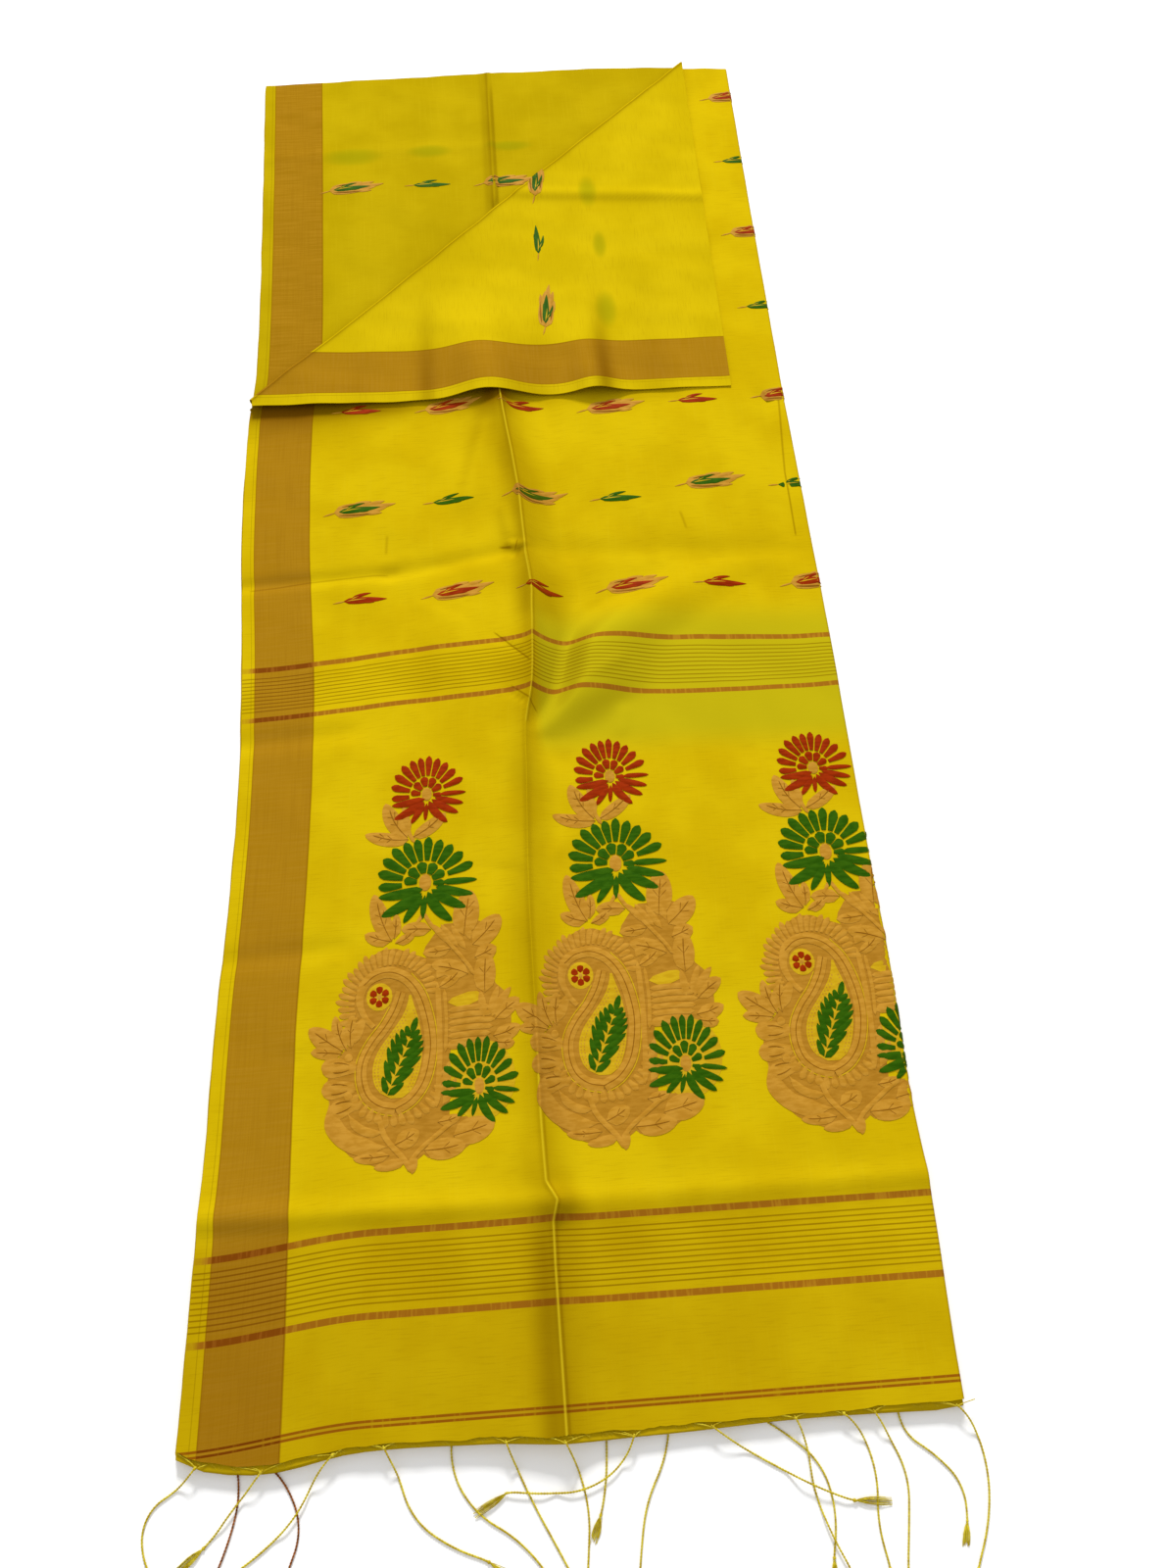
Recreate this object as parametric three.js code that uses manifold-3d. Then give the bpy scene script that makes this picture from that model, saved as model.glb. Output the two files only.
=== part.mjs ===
// A saree laid flat: folded in half lengthwise, then folded across, one top corner turned down.
// Millimetres, +Z up. X runs across the folded cloth and Y from the fringed hem to the top fold.
// Cloth places are written as u, from the bordered side edge, and v, up from the hem.
import * as THREE from 'three';
import Module from 'manifold-3d';
import { mergeVertices } from 'three/addons/utils/BufferGeometryUtils.js';

// Driving dimensions
const LENGTH = 1525; // hem to top fold
const TURN = 521; // legs of the turned-down corner
const STACK = 7; // hidden layers under the front stretch
const WALL = 1.4; // two plies of silk pressed together
const GAP = 0.3; // between pieces
const CORNER_V = LENGTH - TURN; // where the turned corner starts on the side edge
const LAYERS = 3; // folded lengths that show as beads along the stack's edges
const BEAD = 0.8; // how far a bead stands proud of the stack's top edge
const STAGGER = 0.6; // each lower length reaches this much further out
const HEM_LEDGE = 4.2; // the under ply shows this far past the front ply's hem
const SIDE_LEDGE = 1.6; // and this far past its side edge
const ROLL = 2.4; // outer radius of the front stretch's folded side
const ROLL_SWEEP = 2.75; // how far that side turns under, in radians
const ROLL_STEPS = 4;
const CORNER_LOFT = 6.5; // how high the turned corner's fold stands open
const CORNER_REST = 0.5; // play between the turned corner and the cloth under it
const LOFT_REACH = 45; // how far from its fold the corner settles
const TUCK = 14; // the under stretch reaches this far below the turned corner's fold
const TUCK_STEP = 2.1; // and lifts the front stretch this much there
const TUCK_CLEAR = 16; // the lift is full up to here from the fold
const TUCK_FADE = 30; // and is gone this much further on
const EDGE_SET = 1.5; // how far the under stretch ends inside the top fold
const FRONT_TOP = LENGTH - 4; // the front stretch's upper edge beside the turned corner

// Side edges of the folded cloth: a row for each height above the hem
const SIDES = [
  { v: -10, left: -14, right: 579 },
  { v: 65, left: -11, right: 580 },
  { v: 150, left: -8, right: 582 },
  { v: 240, left: -4, right: 580 },
  { v: 340, left: -1, right: 582 },
  { v: 445, left: 5, right: 581 },
  { v: 560, left: 8, right: 581 },
  { v: 690, left: 5, right: 581 },
  { v: 825, left: -1, right: 579 },
  { v: 975, left: -1, right: 577 },
  { v: 1060, left: 5, right: 577 },
  { v: 1330, left: 2, right: 577 },
  { v: 1540, left: -3, right: 578 },
];

// Lower and upper ends of the stack: a row for each place across it
const ENDS = [
  { u: -16, hem: 8, top: 1529 },
  { u: 5, hem: -2, top: 1529 },
  { u: 55, hem: -7, top: 1530 },
  { u: 120, hem: 2, top: 1531 },
  { u: 220, hem: 1, top: 1533 },
  { u: 280, hem: -3, top: 1534 },
  { u: 355, hem: -2, top: 1534 },
  { u: 440, hem: 1, top: 1533 },
  { u: 520, hem: 1, top: 1529 },
  { u: 585, hem: 0, top: 1524 },
];

// The sharp lengthwise crease: its place, height, long slope on the border side, and short fall
const RIDGE = [
  { v: -10, u: 278, height: 8, slope: 90, fall: 34 },
  { v: 100, u: 277, height: 10, slope: 90, fall: 38 },
  { v: 152, u: 277, height: 11, slope: 85, fall: 38 },
  { v: 168, u: 281, height: 13, slope: 80, fall: 34 },
  { v: 184, u: 273, height: 12, slope: 80, fall: 36 },
  { v: 300, u: 272, height: 12, slope: 85, fall: 42 },
  { v: 430, u: 272, height: 12, slope: 90, fall: 42 },
  { v: 550, u: 276, height: 13, slope: 90, fall: 34 },
  { v: 600, u: 278, height: 15, slope: 95, fall: 20 },
  { v: 640, u: 286, height: 21, slope: 120, fall: 25 },
  { v: 690, u: 289, height: 26, slope: 190, fall: 36 },
  { v: 757, u: 291, height: 22, slope: 150, fall: 50 },
  { v: 800, u: 287, height: 18, slope: 120, fall: 46 },
  { v: 880, u: 283, height: 18, slope: 100, fall: 48 },
  { v: 960, u: 274, height: 16, slope: 90, fall: 46 },
  { v: 1010, u: 270, height: 13, slope: 80, fall: 44 },
  { v: 1110, u: 270, height: 6, slope: 70, fall: 44 },
  { v: 1220, u: 276, height: 0, slope: 70, fall: 44 },
];
const RIDGE_SHARP = 0.42; // share of the ridge that is the thin crest itself
const CREST_REACH = 8; // how wide that crest is
const FALL_CURVE = 1.7; // how hollow the short fall is

// The round fold that leaves the ridge and bends off to the right
const BRANCH = [
  { v: 585, u: 288, height: 0, near: 20, far: 50 },
  { v: 612, u: 316, height: 9, near: 24, far: 58 },
  { v: 640, u: 339, height: 16, near: 27, far: 68 },
  { v: 688, u: 354, height: 17, near: 30, far: 78 },
  { v: 718, u: 384, height: 12, near: 40, far: 84 },
  { v: 748, u: 432, height: 6, near: 60, far: 80 },
  { v: 780, u: 480, height: 0, near: 70, far: 80 },
];

// Soft creases of the front stretch, each a stroke from one place to another; a plus stands up
const CREASES = [
  { u1: -20, v1: 176, u2: 281, v2: 167, rise: 4.5, width: 10 },
  { u1: 281, v1: 165, u2: 600, v2: 169, rise: 4.5, width: 10 },
  { u1: -10, v1: 778, u2: 150, v2: 783, rise: -3.2, width: 8 },
  { u1: 150, v1: 783, u2: 276, v2: 798, rise: -3.2, width: 8 },
  { u1: 300, v1: 800, u2: 560, v2: 786, rise: -1.6, width: 13 },
  { u1: 240, v1: 872, u2: 262, v2: 1000, rise: 3, width: 9 },
  { u1: 558, v1: 805, u2: 556, v2: 990, rise: -2.2, width: 8 },
  { u1: -5, v1: 600, u2: 110, v2: 606, rise: -2.4, width: 11 },
  { u1: -5, v1: 388, u2: 105, v2: 393, rise: -2, width: 10 },
];

// Broad swellings that every layer shares
const SWELLS = [
  { u: 190, v: 120, ru: 150, rv: 150, height: 4.5 },
  { u: 430, v: 330, ru: 130, rv: 190, height: 3.5 },
  { u: 130, v: 450, ru: 110, rv: 150, height: 2.5 },
  { u: 140, v: 900, ru: 120, rv: 130, height: 4 },
  { u: 440, v: 900, ru: 120, rv: 130, height: 4 },
  { u: 170, v: 1330, ru: 150, rv: 130, height: 3 },
  { u: 430, v: 1300, ru: 110, rv: 160, height: 2.5 },
];

// Waves of the turned corner's lower edge, which die out up the cloth
const WAVES = [
  { u: 60, height: 5, reach: 70, fade: 120 },
  { u: 266, height: 16.5, reach: 44, fade: 190 },
  { u: 374, height: 8, reach: 28, fade: 170 },
];
const CORNER_CREASE = { v: 1300, height: 3, reach: 16 };
const UNDER_CREASE = { u: 278, height: 5, reach: 9, from: 14, full: 60 };

// Fringe cords: root, length, and which way each heads at five even steps along it, in degrees
// from straight down, plus to the right. A tuft is the brush at its end. Later cords lie on top.
const CORDS = [
  { root: 3, length: 125, head: [-40, -62, 5, 45, 25], ply: 'front', tuft: 20 },
  { root: 32, length: 120, head: [10, -14, -24, -15, 0], ply: 'back', tuft: 18 },
  { root: 52, length: 88, head: [-40, -43, -38, -50, -57], ply: 'front', tuft: 24 },
  { root: 59, length: 120, head: [46, 20, -22, -20, 0], ply: 'back', tuft: 18 },
  { root: 105, length: 130, head: [-50, -27, -50, -60, -40], ply: 'front', tuft: 20 },
  { root: 141, length: 140, head: [28, 18, 55, 70, 50], ply: 'front', tuft: 24 },
  { root: 191, length: 135, head: [-5, 32, 60, 42, 25], ply: 'back', tuft: 22 },
  { root: 232, length: 130, head: [18, 25, 29, 28, 15], ply: 'front', tuft: 20 },
  { root: 276, length: 130, head: [27, 14, -6, -8, 5], ply: 'front', tuft: 20 },
  { root: 307, length: 68, head: [-2, -6, -12, -20, -22], ply: 'back', tuft: 18 },
  { root: 328, length: 138, head: [-18, -60, -91, -98, -40], ply: 'front', tuft: 26 },
  { root: 354, length: 130, head: [-12, -32, -12, -8, 5], ply: 'back', tuft: 20 },
  { root: 428, length: 130, head: [58, 48, 10, -14, -5], ply: 'back', tuft: 20 },
  { root: 449, length: 130, head: [28, 0, 16, 26, 12], ply: 'front', tuft: 20 },
  { root: 485, length: 130, head: [52, 14, -10, 10, 0], ply: 'front', tuft: 20 },
  { root: 386, length: 142, head: [50, 59, 61, 68, 95], ply: 'front', tuft: 26 },
  { root: 509, length: 130, head: [30, 22, -10, -12, 0], ply: 'front', tuft: 20 },
  { root: 529, length: 106, head: [0, 55, 40, -4, -20], ply: 'back', tuft: 16 },
  { root: 572, length: 135, head: [46, 8, -12, -27, -20], ply: 'front', tuft: 20 },
];
const CORD_HALF = 0.9; // half a cord's thickness
const CORD_STEP = 10; // length of a straight piece of cord
const FLOOR_GAP = 0.4; // cords lie this far clear of the surface
const DROP = { from: 1.6, to: 22 }; // a front cord comes down between these distances out
const PASS = { near: 4, level: 10, end: 24 }; // how one cord rises to pass over another
const ROOT = 5; // length of a cord that stays straight off the binding
const STRIP = { width: 2.2, height: 1.8 }; // the binding that holds the cords' roots
// Sections of a brush, from where the cord opens to its tip
const TUFT = [
  { at: 0, wide: 0.9, high: 0.9 },
  { at: 0.3, wide: 2.2, high: 1.4 },
  { at: 0.65, wide: 2.8, high: 1.5 },
  { at: 1, wide: 1.3, high: 0.8 },
];

const COLOURS = {
  silk: { color: 0xd7b414, roughness: 0.5, metalness: 0 },
  under: { color: 0xcbaa14, roughness: 0.5, metalness: 0 },
  layers: { color: 0xb99a14, roughness: 0.6, metalness: 0 },
  cord: { color: 0xc0a81e, roughness: 0.65, metalness: 0 },
};

// Small mathematics
const clamp = (x, low, high) => Math.min(high, Math.max(low, x));
const bell = (t) => Math.exp(-t * t);
const degrees = (a) => (a * Math.PI) / 180;
const total = (values) => values.reduce((sum, value) => sum + value, 0);

function smooth(t) {
  const k = clamp(t, 0, 1);
  return k * k * (3 - 2 * k);
}

// Reads one column of a table between its rows, along a curve through them
function read(table, axis, place, column) {
  const last = table.length - 1;
  const at = clamp(place, table[0][axis], table[last][axis]);
  const i = Math.min(table.findLastIndex((row) => row[axis] <= at), last - 1);
  const [before, from, to, after] = [table[Math.max(i - 1, 0)], table[i], table[i + 1],
    table[Math.min(i + 2, last)]];
  const span = to[axis] - from[axis];
  const t = (at - from[axis]) / span;
  const slopeFrom = ((to[column] - before[column]) / (to[axis] - before[axis])) * span;
  const slopeTo = ((after[column] - from[column]) / (after[axis] - from[axis])) * span;
  const curve = (1 - t) * slopeFrom - t * slopeTo + (2 * t - 1) * (to[column] - from[column]);
  return from[column] + t * (to[column] - from[column]) + t * (1 - t) * curve;
}

const leftAt = (v) => read(SIDES, 'v', v, 'left');
const rightAt = (v) => read(SIDES, 'v', v, 'right');
const hemAt = (u) => read(ENDS, 'u', u, 'hem');
const topAt = (u) => read(ENDS, 'u', u, 'top');

// Relief of the cloth
function swell(u, v) {
  return total(SWELLS.map((s) => s.height
    * bell(Math.hypot((u - s.u) / s.ru, (v - s.v) / s.rv))));
}

function ridge(u, v) {
  const d = u - read(RIDGE, 'v', v, 'u');
  const height = read(RIDGE, 'v', v, 'height');
  if (d > 0) return height * clamp(1 - d / read(RIDGE, 'v', v, 'fall'), 0, 1) ** FALL_CURVE;
  const slope = (1 - RIDGE_SHARP) * (1 - smooth(-d / read(RIDGE, 'v', v, 'slope')));
  return height * (RIDGE_SHARP * Math.exp(d / CREST_REACH) + slope);
}

function branch(u, v) {
  const d = u - read(BRANCH, 'v', v, 'u');
  const side = d > 0 ? d / read(BRANCH, 'v', v, 'far') : -d / read(BRANCH, 'v', v, 'near');
  return read(BRANCH, 'v', v, 'height') * (1 - smooth(side));
}

function crease(u, v, c) {
  const du = c.u2 - c.u1;
  const dv = c.v2 - c.v1;
  const t = clamp(((u - c.u1) * du + (v - c.v1) * dv) / (du * du + dv * dv), 0, 1);
  return c.rise * bell(Math.hypot(u - c.u1 - t * du, v - c.v1 - t * dv) / c.width);
}

// How far a place is below the slant fold of the turned corner, to its lower right
function belowFold(u, v) {
  if (v < CORNER_V) return Math.hypot(u / Math.SQRT2, CORNER_V - v);
  return (u - (v - CORNER_V)) / Math.SQRT2;
}

function settledHeight(u, v) {
  const creases = total(CREASES.map((c) => crease(u, v, c)));
  return STACK + GAP + WALL + swell(u, v) + ridge(u, v) + branch(u, v) + creases;
}

function frontHeight(u, v) {
  const lift = TUCK_STEP * (1 - smooth((belowFold(u, v) - TUCK_CLEAR) / TUCK_FADE));
  return settledHeight(u, v) + lift;
}

function underHeight(u, v) {
  const { height, reach, from, full } = UNDER_CREASE;
  const above = v - CORNER_V - UNDER_CREASE.u - from;
  const stand = height * bell((u - UNDER_CREASE.u) / reach) * smooth(above / full);
  return STACK + GAP + WALL + swell(u, v) + stand;
}

function cornerHeight(u, v) {
  const waves = WAVES.map((w) => w.height * bell((u - w.u) / w.reach)
    * (1 - smooth((v - CORNER_V) / w.fade)));
  const loft = CORNER_LOFT * Math.exp(-Math.max(belowFold(u, v), 0) / LOFT_REACH);
  const stand = CORNER_CREASE.height * bell((v - CORNER_CREASE.v) / CORNER_CREASE.reach);
  return STACK + 2 * (GAP + WALL) + CORNER_REST + swell(u, v) + total(waves) + loft + stand;
}

// Solids from grids of points
const spot = (u, v, z) => new THREE.Vector3(u, v, z);

function solid(points, faces) {
  const geometry = new THREE.BufferGeometry();
  const numbers = points.flatMap((p) => [p.x, p.y, p.z]);
  geometry.setAttribute('position', new THREE.Float32BufferAttribute(numbers, 3));
  geometry.setIndex(faces);
  return geometry;
}

// The same grid, moved a distance in along its normals
function inside(grid, distance) {
  const endRow = grid.length - 1;
  const endColumn = grid[0].length - 1;
  return grid.map((row, i) => row.map((p, j) => {
    const across = row[Math.min(j + 1, endColumn)].clone().sub(row[Math.max(j - 1, 0)]);
    const along = grid[Math.min(i + 1, endRow)][j].clone().sub(grid[Math.max(i - 1, 0)][j]);
    return p.clone().addScaledVector(across.cross(along).normalize(), -distance);
  }));
}

// A closed wall between two grids of one layout, the outer one first
function wall(outer, inner) {
  const rows = outer.length;
  const columns = outer[0].length;
  const faces = [];
  const quad = (a, b, c, d) => faces.push(a, b, c, a, c, d);
  const out = (i, j) => i * columns + j;
  const back = (i, j) => (rows + i) * columns + j;
  for (let i = 0; i < rows - 1; i += 1) {
    for (let j = 0; j < columns - 1; j += 1) {
      quad(out(i, j), out(i, j + 1), out(i + 1, j + 1), out(i + 1, j));
      quad(back(i, j), back(i + 1, j), back(i + 1, j + 1), back(i, j + 1));
    }
    quad(out(i, 0), out(i + 1, 0), back(i + 1, 0), back(i, 0));
    quad(out(i + 1, columns - 1), out(i, columns - 1), back(i, columns - 1),
      back(i + 1, columns - 1));
  }
  for (let j = 0; j < columns - 1; j += 1) {
    quad(out(0, j + 1), out(0, j), back(0, j), back(0, j + 1));
    quad(out(rows - 1, j), out(rows - 1, j + 1), back(rows - 1, j + 1), back(rows - 1, j));
  }
  return solid([...outer.flat(), ...inner.flat()], faces);
}

// Grid lines: close together at the crest, the folds and the edges
const LEFT_SHARES = [0, 0.02, 0.05, 0.14, 0.25, 0.4, 0.55, 0.68, 0.79, 0.87, 0.93, 0.965, 0.985];
const RIGHT_SHARES = [0, 0.018, 0.04, 0.07, 0.1, 0.135, 0.175, 0.215, 0.26, 0.32, 0.39, 0.48,
  0.58, 0.7, 0.81, 0.9, 0.96, 1];
const LOWER_ROWS = [70, 118, 150, 167, 184, 230, 300, 345, 388, 430, 500, 560, 600, 625, 650,
  675, 700, 725, 757, 782, 797, 820, 880, 940, CORNER_V];
const UPPER_ROWS = [1050, 1110, 1180, 1260, 1350, 1440];
const HEM_ROW = 26; // second line of the grid above the hem
const CREST_SHARE = 0.3; // the crest's line keeps at least this share of the width to its left

function columns(v, left, right) {
  const crest = Math.max(read(RIDGE, 'v', v, 'u'), left + CREST_SHARE * (right - left));
  return [...LEFT_SHARES.map((share) => left + share * (crest - left)),
    ...RIGHT_SHARES.map((share) => crest + share * (right - crest))];
}

// The flat part of the front stretch's outer surface, below and above the turned corner
function frontLower(height) {
  const across = columns(0, leftAt(0) + SIDE_LEDGE, rightAt(0) - ROLL);
  const hem = across.map((u) => [u, hemAt(u) + HEM_LEDGE]);
  const second = across.map((u) => [u, hemAt(u) + HEM_ROW]);
  const rest = LOWER_ROWS.map((v) => columns(v, leftAt(v) + SIDE_LEDGE, rightAt(v) - ROLL)
    .map((u) => [u, v]));
  return [hem, second, ...rest].map((row) => row.map(([u, v]) => spot(u, v, height(u, v))));
}

function frontUpper() {
  return [...UPPER_ROWS, FRONT_TOP].map((v) => columns(v, v - CORNER_V + 1, rightAt(v) - ROLL)
    .map((u) => spot(u, v, frontHeight(u, v))));
}

// Turns a row of points under at its right end, as the folded side does
function rolled(row) {
  const edge = row[row.length - 1];
  const turns = [];
  for (let k = 1; k <= ROLL_STEPS; k += 1) {
    const angle = (k / ROLL_STEPS) * ROLL_SWEEP;
    turns.push(spot(edge.x + ROLL * Math.sin(angle), edge.y,
      edge.z - ROLL * (1 - Math.cos(angle))));
  }
  return [...row, ...turns];
}

function frontStretch() {
  const outer = [...frontLower(frontHeight), ...frontUpper()].map(rolled);
  return wall(outer, inside(outer, WALL));
}

// The stack's own top beside the hem
const hemTop = (u) => frontHeight(u, hemAt(u) + HEM_LEDGE) - WALL - GAP - SLACK;

// The hidden lengths as one solid: it follows the front stretch below the corner, and its edges
// are beads, one for each folded length
const UPPER_PLAY = 0.5; // extra room above the stack where the corner is turned down
const SLACK = 0.4; // extra room under the steep sides of the creases

function stackTop() {
  const outer = frontLower(settledHeight);
  const lower = inside(outer, WALL + GAP + SLACK).slice(1, -1);
  const ledge = [BEAD, HEM_LEDGE].map((out) => outer[0].map(({ x }) => (
    spot(x, hemAt(x) + out, hemTop(x)))));
  const upperAt = (v) => columns(v, leftAt(v) + SIDE_LEDGE, rightAt(v) - ROLL);
  const height = (u, v) => STACK + swell(u, v) - UPPER_PLAY;
  const upper = [CORNER_V, ...UPPER_ROWS].map((v) => upperAt(v)
    .map((u) => spot(u, v, height(u, v))));
  const top = upperAt(LENGTH).map((u) => spot(u, topAt(u) - BEAD, height(u, LENGTH)));
  const rows = [...ledge, ...lower, ...upper, top];
  for (const row of rows) {
    row[0].x -= SIDE_LEDGE - BEAD;
    row[row.length - 1].x -= 2 * GAP;
  }
  return rows;
}

// How far each bead line of the stack's wall stands out, down from the top edge: share of the
// height, reach at the hem, border side and top, and reach under the rolled side
const BEAD_LINES = Array.from({ length: 2 * LAYERS }, (_, k) => {
  const layer = Math.floor(k / 2);
  const peak = k % 2 === 0 ? BEAD + layer * STAGGER : (layer * STAGGER) / 2;
  const rollReach = [0, 0, 0, ROLL * 0.8, ROLL + GAP, ROLL * 0.85][k];
  return { share: 1 - (k + 1) / (2 * LAYERS), reach: peak, rollReach };
});

function foldedLayers() {
  const rows = stackTop();
  const endRow = rows.length - 1;
  const endColumn = rows[0].length - 1;
  const ring = [];
  for (let j = 0; j < endColumn; j += 1) ring.push([0, j]);
  for (let i = 0; i < endRow; i += 1) ring.push([i, endColumn]);
  for (let j = endColumn; j > 0; j -= 1) ring.push([endRow, j]);
  for (let i = endRow; i > 0; i -= 1) ring.push([i, 0]);
  const points = rows.flat();
  const index = (i, j) => i * (endColumn + 1) + j;
  const rings = [ring.map(([i, j]) => index(i, j))];
  for (const line of BEAD_LINES) {
    rings.push(ring.map(([i, j]) => {
      const p = rows[i][j];
      const alongX = (j === endColumn ? line.rollReach : 0) - (j === 0 ? line.reach : 0);
      const alongY = (i === endRow ? line.reach : 0) - (i === 0 ? line.reach : 0);
      points.push(spot(p.x + alongX, p.y + alongY, p.z * line.share));
      return points.length - 1;
    }));
  }
  const faces = [];
  const quad = (a, b, c, d) => faces.push(a, b, c, a, c, d);
  for (let i = 0; i < endRow; i += 1) {
    for (let j = 0; j < endColumn; j += 1) {
      quad(index(i, j), index(i, j + 1), index(i + 1, j + 1), index(i + 1, j));
    }
  }
  for (let k = 0; k < rings.length - 1; k += 1) {
    for (let n = 0; n < ring.length; n += 1) {
      const next = (n + 1) % ring.length;
      quad(rings[k][next], rings[k][n], rings[k + 1][n], rings[k + 1][next]);
    }
  }
  const base = rings[rings.length - 1];
  const outline = base.map((n) => new THREE.Vector2(points[n].x, points[n].y));
  for (const [a, b, c] of THREE.ShapeUtils.triangulateShape(outline, [])) {
    faces.push(base[a], base[c], base[b]);
  }
  return solid(points, faces);
}

// The length under the turned corner, which shows above its slant fold
const UNDER_COLUMNS = [18, 45, 74, 120, 165, 210, 245, 262, 271, 278, 285, 294, 312, 350, 400,
  450, 495, TURN];
const UNDER_SHARES = [0, 0.08, 0.2, 0.33, 0.46, 0.6, 0.74, 0.87, 1];

function underStretch() {
  const rows = UNDER_SHARES.map((share) => [null, ...UNDER_COLUMNS].map((column) => {
    const low = CORNER_V + Math.max((column ?? 0) - TUCK, EDGE_SET);
    const v = low + share * (topAt(column ?? 0) - EDGE_SET - low);
    const u = column ?? leftAt(v) + EDGE_SET;
    return spot(u, v, underHeight(u, v));
  }));
  return wall(rows, inside(rows, WALL));
}

// The corner turned down over the front stretch, with its open fold along the slant
const CORNER_COLUMNS = [16, 45, 80, 120, 165, 205, 232, 250, 266, 282, 300, 320, 342, 358, 374,
  390, 410, 440, 480, TURN];
const CORNER_SHARES = [0, 0.1, 0.22, 0.36, 0.52, 0.68, 0.84, 1];
const FOLD_STEPS = 6;
const CORNER_HEM = CORNER_V - 2; // its lower edge, the turned side border

function turnedCorner() {
  const outer = CORNER_SHARES.map((share) => CORNER_COLUMNS.map((u) => {
    const v = CORNER_HEM + share * (u + CORNER_V - CORNER_HEM);
    return spot(u, v, cornerHeight(u, v));
  }));
  const inner = outer.map((row) => row.map((p) => spot(p.x, p.y, p.z - WALL)));
  for (let k = 1; k <= FOLD_STEPS; k += 1) {
    const angle = (k / FOLD_STEPS) * Math.PI;
    const turn = (radiusLoss) => CORNER_COLUMNS.map((u) => {
      const upper = cornerHeight(u, u + CORNER_V);
      const lower = frontHeight(u, u + CORNER_V) - WALL;
      const radius = (upper - lower) / 2 - radiusLoss;
      const out = (radius * Math.sin(angle)) / Math.SQRT2;
      return spot(u - out, u + CORNER_V + out, (upper + lower) / 2 + radius * Math.cos(angle));
    });
    outer.push(turn(0));
    inner.push(turn(WALL));
  }
  return wall(outer, inner);
}

// Fringe: where a cord runs in plan, point by point, a millimetre apart
function cordPlan(cord) {
  const ledge = cord.ply === 'front' ? BEAD + GAP + STRIP.width : -LAYERS * STAGGER - GAP * 2;
  const plan = [[cord.root, hemAt(cord.root) + ledge - STRIP.width / 2]];
  for (let s = 0; s < cord.length; s += 1) {
    const along = (s / cord.length) * (cord.head.length - 1);
    const k = Math.floor(along);
    const heading = degrees(cord.head[k] + (along - k) * (cord.head[k + 1] - cord.head[k]));
    const [u, v] = plan[plan.length - 1];
    plan.push([u + Math.sin(heading), v - Math.cos(heading)]);
  }
  return plan;
}

// The sections of a cord: its place along it, and half its width and height there
function cordSections(cord) {
  const sections = [];
  const plain = cord.length - cord.tuft;
  const pieces = Math.round(plain / CORD_STEP);
  for (let k = 0; k < pieces; k += 1) {
    sections.push({ at: (k / pieces) * plain, wide: CORD_HALF, high: CORD_HALF });
    if (k === 0) sections.push({ ...sections[0], at: ROOT });
  }
  for (const t of TUFT) sections.push({ ...t, at: plain + t.at * cord.tuft });
  return sections.map((section) => ({ ...section, at: Math.round(section.at) }));
}

function restHeight(cord, section, [u, v]) {
  const low = FLOOR_GAP + section.high;
  if (cord.ply === 'back') return low;
  const under = Math.max(hemTop(u - CORD_HALF * 2), hemTop(u), hemTop(u + CORD_HALF * 2));
  const high = under + GAP + STRIP.height / 2;
  return high + (low - high) * smooth((hemAt(u) - v - DROP.from) / (DROP.to - DROP.from));
}

// How far along one plan it passes near another, and how far along that one
function meetings(plan, other) {
  const met = [];
  for (let a = ROOT; a < plan.length; a += 1) {
    const far = other.map(([u, v]) => Math.hypot(u - plan[a][0], v - plan[a][1]));
    const b = far.indexOf(Math.min(...far));
    if (far[b] < PASS.near && b > ROOT) met.push([a, b]);
  }
  return met;
}

// Every cord's sections with their height, each cord humped over the earlier ones it crosses
function laidCords() {
  const laid = [];
  for (const cord of CORDS) {
    const plan = cordPlan(cord);
    const sections = cordSections(cord);
    for (const section of sections) {
      const rest = restHeight(cord, section, plan[section.at]);
      const lifts = laid.flatMap((other) => meetings(plan, other.plan).map(([a, b]) => {
        const near = other.sections.filter((o) => Math.abs(o.at - b) <= CORD_STEP);
        const over = Math.max(...near.map((o) => o.z + o.high)) + GAP + section.high;
        const away = (Math.abs(section.at - a) - PASS.level) / (PASS.end - PASS.level);
        return (over - rest) * (1 - smooth(away));
      }));
      section.z = rest + Math.max(0, ...lifts);
    }
    laid.push({ cord, plan, sections });
  }
  return laid;
}

// A four-sided cord along its sections
function cordSolid({ plan, sections }) {
  const corners = [[-1, -1], [1, -1], [1, 1], [-1, 1]];
  const loops = sections.map(({ at, wide, high, z }) => {
    const here = plan[at];
    const [uA, vA] = plan[Math.max(at - 2, 0)];
    const [uB, vB] = plan[Math.min(at + 2, plan.length - 1)];
    const run = Math.hypot(uB - uA, vB - vA);
    const side = [-(vB - vA) / run, (uB - uA) / run];
    return corners.map(([x, y]) => spot(here[0] - x * wide * side[0],
      here[1] - x * wide * side[1], z + y * high));
  });
  const faces = [];
  const quad = (a, b, c, d) => faces.push(a, b, c, a, c, d);
  for (let k = 0; k < loops.length - 1; k += 1) {
    for (let n = 0; n < 4; n += 1) {
      const m = (n + 1) % 4;
      quad(4 * k + n, 4 * k + 4 + n, 4 * k + 4 + m, 4 * k + m);
    }
  }
  const end = 4 * (loops.length - 1);
  quad(0, 1, 2, 3);
  quad(end + 3, end + 2, end + 1, end);
  return solid(loops.flat(), faces);
}

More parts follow.
